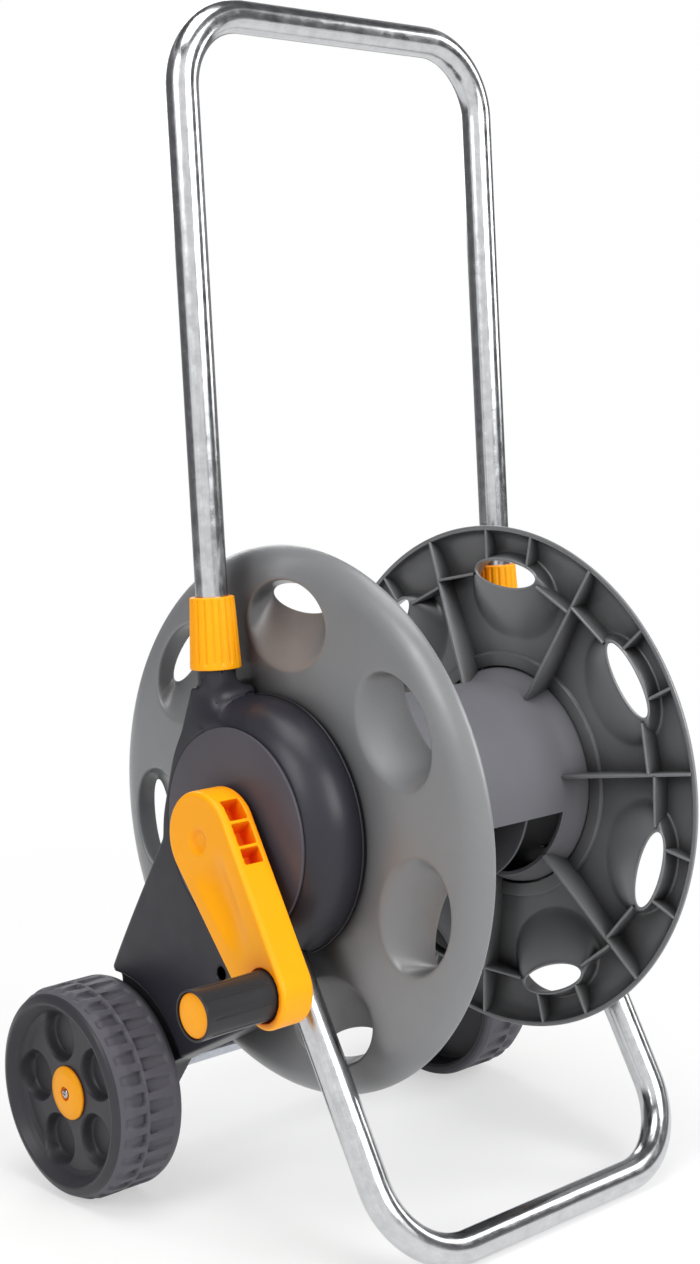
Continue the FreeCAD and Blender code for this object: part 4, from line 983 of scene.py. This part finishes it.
def melt_shoulder(frame_piece, side):
    """Blend the shoulder into the round boss, as the moulding does."""
    work = bmesh.new()
    work.from_mesh(frame_piece.data)
    x, y, z = SHOULDER
    hub = Vector(ORIGIN + np.array([side * x, y, AXIS_Z + z]) * MM)
    near = [v for v in work.verts
            if (hub - v.co).length < MELT_R * MM and abs(v.co.x - ORIGIN[0]) > MELT_FROM_X * MM]
    for _ in range(MELT_PASSES):
        bmesh.ops.smooth_vert(work, verts=near, factor=0.5,
                              use_axis_x=True, use_axis_y=True, use_axis_z=True)
    work.to_mesh(frame_piece.data)
    work.free()


def trim_edge(frame_piece):
    """Bring the frame's rear edge in beside the boss and up to the collar's neck."""
    for v in frame_piece.data.vertices:
        y = (v.co.y - ORIGIN[1]) / MM
        z = v.co.z / MM - AXIS_Z
        if abs(v.co.x - ORIGIN[0]) < 0.100 or y < 38.0:
            continue
        outside_boss = smooth(math.hypot(y, z), 77.0, 88.0)
        share = smooth(z, -110.0, 20.0) * outside_boss * smooth(y, 38.0, 50.0)
        below_neck = 1.0 - smooth(z, 96.5, 99.0)
        v.co.y -= (5.0 + 2.5 * smooth(z, 60.0, 96.0)) * share * below_neck * MM


def make_frames():
    """Side frames with the lip round their bosses, and the flat covers let into them."""
    lip = rounded([(117.8, 85.0, 0.2), (117.8, 90.3, 0.6), (119.4, 90.3, 0.7),
                   (119.4, 85.0, 0.2)], 4)
    lip_points, lip_faces = lathe(lip, 220)
    for node, side in sides("side_frame"):
        frame_piece = remeshed(node, 0.95, 5, 0.3)
        melt_shoulder(frame_piece, side)
        trim_edge(frame_piece)
        add_piece("lip_" + node, moved(lip_points, z=AXIS_Z), lip_faces, [node], side)
    for node, side in sides("boss_cover"):
        hole = 11.54 if side < 0 else 12.04
        line = rounded([(152.5, hole, 0), (152.5, 71.5, 0), (154.9, 71.5, 0.6),
                        (154.9, hole, 0.4)], 4)
        points, faces = lathe(line, 160)
        cover = add_piece("moulded_" + node, moved(points, z=AXIS_Z), faces, [node], side)
        cover.data.materials[0] = COVER


make_frames()
for node in ("inlet_elbow", "inlet_nose"):
    remeshed(node, 0.45, 4, 0.4)


# ------------------------ collars and tubes

LEAN = math.radians(1.65)  # of the handle's legs
LEG_X, LEG_Y = 139.0, 28.5
COLLAR = (107.6, 156.6)  # ends of a collar along its leg, from the axis
FLUTES = 18
PIPE_R = 11.0
HANDLE_TOP_Z, HANDLE_BEND_R = 826.2, 52.0
FOOT_X, FOOT_Y, FOOT_BEND_R = 138.0, 8.7, 57.0
FOOT_TILT = math.radians(28.6)


def up_leg(points):
    """Points of a lathe about x stood up along a handle leg; their x is the height."""
    h, side, back = points.T
    y = LEG_Y + h * math.sin(LEAN) + back * math.cos(LEAN)
    z = AXIS_Z + h * math.cos(LEAN) - back * math.sin(LEAN)
    return np.column_stack([LEG_X + side, y, z])


def collar_relief(x, r, a):
    """Flutes down the collar, short of both ends."""
    low, high = COLLAR
    away = np.abs((a / (TAU / FLUTES) + 0.5) % 1.0 - 0.5) * (TAU / FLUTES) * 16.0
    along = smooth(x, low + 3.0, low + 5.0) * (1.0 - smooth(x, high - 2.5, high - 1.2))
    groove = 0.75 * (1.0 - smooth(away, 0.2, 1.5)) * along * smooth(r, 14.3, 14.9)
    return x, r - groove


def make_collars():
    """Fluted collars on the handle's legs."""
    low, high = COLLAR
    line = rounded([(low, 13.7, 0), (low, 17.6, 0.8), (low + 3.5, 17.45, 0.4), (high, 15.2, 1.0),
                    (high, 11.3, 0.3), (high - 8.0, 11.3, 0), (high - 20.0, 13.7, 0)], 5)
    line = fine(np.vstack([line, line[:1]]), 1.6)[:-1]
    points, faces = lathe(line, FLUTES * 14, collar_relief)
    for node, side in sides("collar"):
        add_piece("moulded_" + node, up_leg(points), faces, [node], side)


def bent_path(corners, radius):
    """Line through the corners, bent to the radius at each."""
    corners = [np.array(c, float) for c in corners]
    path = [corners[0]]
    for k in range(1, len(corners) - 1):
        path += arc(corners[k - 1], corners[k], corners[k + 1], radius, 24)
    path.append(corners[-1])
    return fine(np.array(path), 12.0)


def make_tubes():
    """Handle and foot, each one bent tube."""
    top = (HANDLE_TOP_Z - AXIS_Z) / math.cos(LEAN)

    def leg(side, h):
        return (side * LEG_X, LEG_Y + h * math.sin(LEAN), AXIS_Z + h * math.cos(LEAN))

    corners = [leg(1, 32.0), leg(1, top), leg(-1, top), leg(-1, 32.0)]
    points, faces, uv = tube(bent_path(corners, HANDLE_BEND_R), PIPE_R)
    add_piece("bent_handle_tube", points, faces, ["handle_tube"], uv=uv)
    floor = (AXIS_Z - PIPE_R) / math.cos(FOOT_TILT)

    def foot(side, d):
        return (side * FOOT_X, FOOT_Y - d * math.sin(FOOT_TILT), AXIS_Z - d * math.cos(FOOT_TILT))

    corners = [foot(1, 40.0), foot(1, floor), foot(-1, floor), foot(-1, 40.0)]
    points, faces, uv = tube(bent_path(corners, FOOT_BEND_R), PIPE_R)
    add_piece("bent_foot_tube", points, faces, ["foot_tube"], uv=uv)


make_collars()
make_tubes()


# ------------------------ stage, light and camera

LAMP_TARGET = (0.0, 0.0, 0.38)
LAMPS = (  # name, place in metres, size, watts
    ("key", (0.1, -2.3, 1.5), (1.4, 1.5), 44.0),
    ("front", (-2.1, -0.3, 1.7), (0.9, 1.2), 21.0),
    ("right", (1.8, -0.9, 1.3), (0.6, 1.4), 14.0),
    ("top", (-0.4, -0.2, 2.3), (1.2, 1.2), 22.0),
    ("back", (0.9, 1.9, 1.5), (1.0, 1.4), 12.0),
)
CARDS = (  # name, angles, heights, grey and distances of grey_card
    ("card_near", -110.0, -70.0, 0.15, 3.0, 0.38, 3.0, 3.0),
    ("card_side", -70.0, 8.0, 0.15, 3.0, 0.09, 3.0, 3.0),
    ("card_back", 8.0, 98.0, 0.15, 3.0, 0.25, 3.0, 3.0),
    ("card_left", 98.0, 165.0, 0.05, 3.0, 0.15, 3.0, 3.0),
    ("card_top", 0.0, 360.0, 3.0, 3.0, 0.10, 0.02, 2.8),
)
CAMERA_PLACE = (-0.93036, -1.02832, 0.56278)
CAMERA_TURN = (41.86, 6.61, -1.85)  # azimuth, elevation and roll in degrees
CAMERA_LENS = 55.68
FLOOR_REACH = 6.0


def softbox(name, place, size, power):
    """Square lamp aimed at the middle of the cart."""
    lamp = bpy.data.lights.new(name, "AREA")
    lamp.shape = "RECTANGLE"
    lamp.size, lamp.size_y = size
    lamp.energy = power
    thing = bpy.data.objects.new(name, lamp)
    bpy.context.scene.collection.objects.link(thing)
    thing.location = place
    look = Vector(LAMP_TARGET) - Vector(place)
    thing.rotation_euler = look.to_track_quat("-Z", "Y").to_euler()


def make_floor():
    """Pale floor that fades to the white backdrop and keeps the cart's soft shadow."""
    mesh = bpy.data.meshes.new("floor")
    a, b = -FLOOR_REACH, FLOOR_REACH
    mesh.from_pydata([(a, a, 0), (b, a, 0), (b, b, 0), (a, b, 0)], [], [(0, 1, 2, 3)])
    floor = bpy.data.objects.new("floor", mesh)
    floor.location.z = -0.0005
    bpy.context.scene.collection.objects.link(floor)
    f = Finish("floor_pale")
    f.shader.inputs["Base Color"].default_value = (0.93, 0.93, 0.93, 1.0)
    f.shader.inputs["Roughness"].default_value = 0.9
    white = f.node("ShaderNodeEmission")
    white.inputs["Color"].default_value = (1.0, 1.0, 1.0, 1.0)
    distance = f.node("ShaderNodeVectorMath", operation="LENGTH")
    f.join(f.place, distance.inputs[0])
    far = f.spread(distance.outputs["Value"], 0.50, 1.0, 0.35, 1.3)
    seen = seen_rays(f.nodes, f.links)
    amount = f.node("ShaderNodeMath", operation="MULTIPLY")
    f.join(far, amount.inputs[0])
    f.join(seen, amount.inputs[1])
    mix = f.node("ShaderNodeMixShader")
    f.join(amount.outputs[0], mix.inputs[0])
    f.join(f.shader.outputs[0], mix.inputs[1])
    f.join(white.outputs[0], mix.inputs[2])
    f.join(mix.outputs[0], f.nodes["Material Output"].inputs["Surface"])
    mesh.materials.append(f.material)


def seen_rays(nodes, links):
    """1 for camera, glossy and transmission rays."""
    path = nodes.new("ShaderNodeLightPath")
    total = path.outputs["Is Camera Ray"]
    for kind in ("Is Glossy Ray", "Is Transmission Ray"):
        add = nodes.new("ShaderNodeMath")
        add.operation = "MAXIMUM"
        links.new(total, add.inputs[0])
        links.new(path.outputs[kind], add.inputs[1])
        total = add.outputs[0]
    return total


def make_world():
    """Plain grey light; the camera, mirrors and glass see the white backdrop instead."""
    world = bpy.data.worlds.new("studio")
    world.use_nodes = True
    nodes, links = world.node_tree.nodes, world.node_tree.links
    back = nodes["Background"]
    back.inputs["Color"].default_value = (1.0, 1.0, 1.0, 1.0)
    back.inputs["Strength"].default_value = 0.26
    white = nodes.new("ShaderNodeBackground")
    white.inputs["Color"].default_value = (1.0, 1.0, 1.0, 1.0)
    choose = nodes.new("ShaderNodeMixShader")
    links.new(seen_rays(nodes, links), choose.inputs[0])
    links.new(back.outputs[0], choose.inputs[1])
    links.new(white.outputs[0], choose.inputs[2])
    links.new(choose.outputs[0], nodes["World Output"].inputs["Surface"])
    bpy.context.scene.world = world


def grey_card(name, first, last, low, high, grey, near, far):
    """Curved grey card round the stage that only mirrors see, as in a product studio.  Angles are
    in degrees from +X; heights, and the distances of the lower and upper edge, are in metres."""
    steps = 24
    points = []
    for k in range(steps + 1):
        turn = math.radians(first + (last - first) * k / steps)
        points.append((near * math.cos(turn), near * math.sin(turn), low))
        points.append((far * math.cos(turn), far * math.sin(turn), high))
    faces = [(2 * k, 2 * k + 1, 2 * k + 3, 2 * k + 2) for k in range(steps)]
    mesh = bpy.data.meshes.new(name)
    mesh.from_pydata(points, [], faces)
    material = bpy.data.materials.new(name)
    material.use_nodes = True
    nodes, links = material.node_tree.nodes, material.node_tree.links
    glow = nodes.new("ShaderNodeEmission")
    glow.inputs["Color"].default_value = (grey, grey, grey * 1.03, 1.0)
    links.new(glow.outputs[0], nodes["Material Output"].inputs["Surface"])
    mesh.materials.append(material)
    card = bpy.data.objects.new(name, mesh)
    bpy.context.scene.collection.objects.link(card)
    card.visible_camera = False
    card.visible_diffuse = False
    card.visible_shadow = False
    card.visible_transmission = False


def make_camera():
    """Camera at the place that the photographed view was solved for."""
    azimuth, elevation, roll = (math.radians(v) for v in CAMERA_TURN)
    ahead = Vector((math.sin(azimuth) * math.cos(elevation),
                    math.cos(azimuth) * math.cos(elevation), -math.sin(elevation)))
    right = Vector((math.cos(azimuth), -math.sin(azimuth), 0.0))
    up = right.cross(ahead)
    right_turned = right * math.cos(roll) + up * math.sin(roll)
    up_turned = up * math.cos(roll) - right * math.sin(roll)
    turn = Matrix((right_turned, up_turned, -ahead)).transposed()
    data = bpy.data.cameras.new("camera")
    data.sensor_fit = "VERTICAL"
    data.sensor_height = 36.0
    data.lens = CAMERA_LENS
    camera = bpy.data.objects.new("camera", data)
    camera.matrix_world = Matrix.Translation(Vector(CAMERA_PLACE)) @ turn.to_4x4()
    bpy.context.scene.collection.objects.link(camera)
    bpy.context.scene.camera = camera


for lamp in LAMPS:
    softbox(*lamp)
for card in CARDS:
    grey_card(*card)
make_floor()
make_world()
make_camera()
bpy.context.scene.view_settings.view_transform = "Standard"
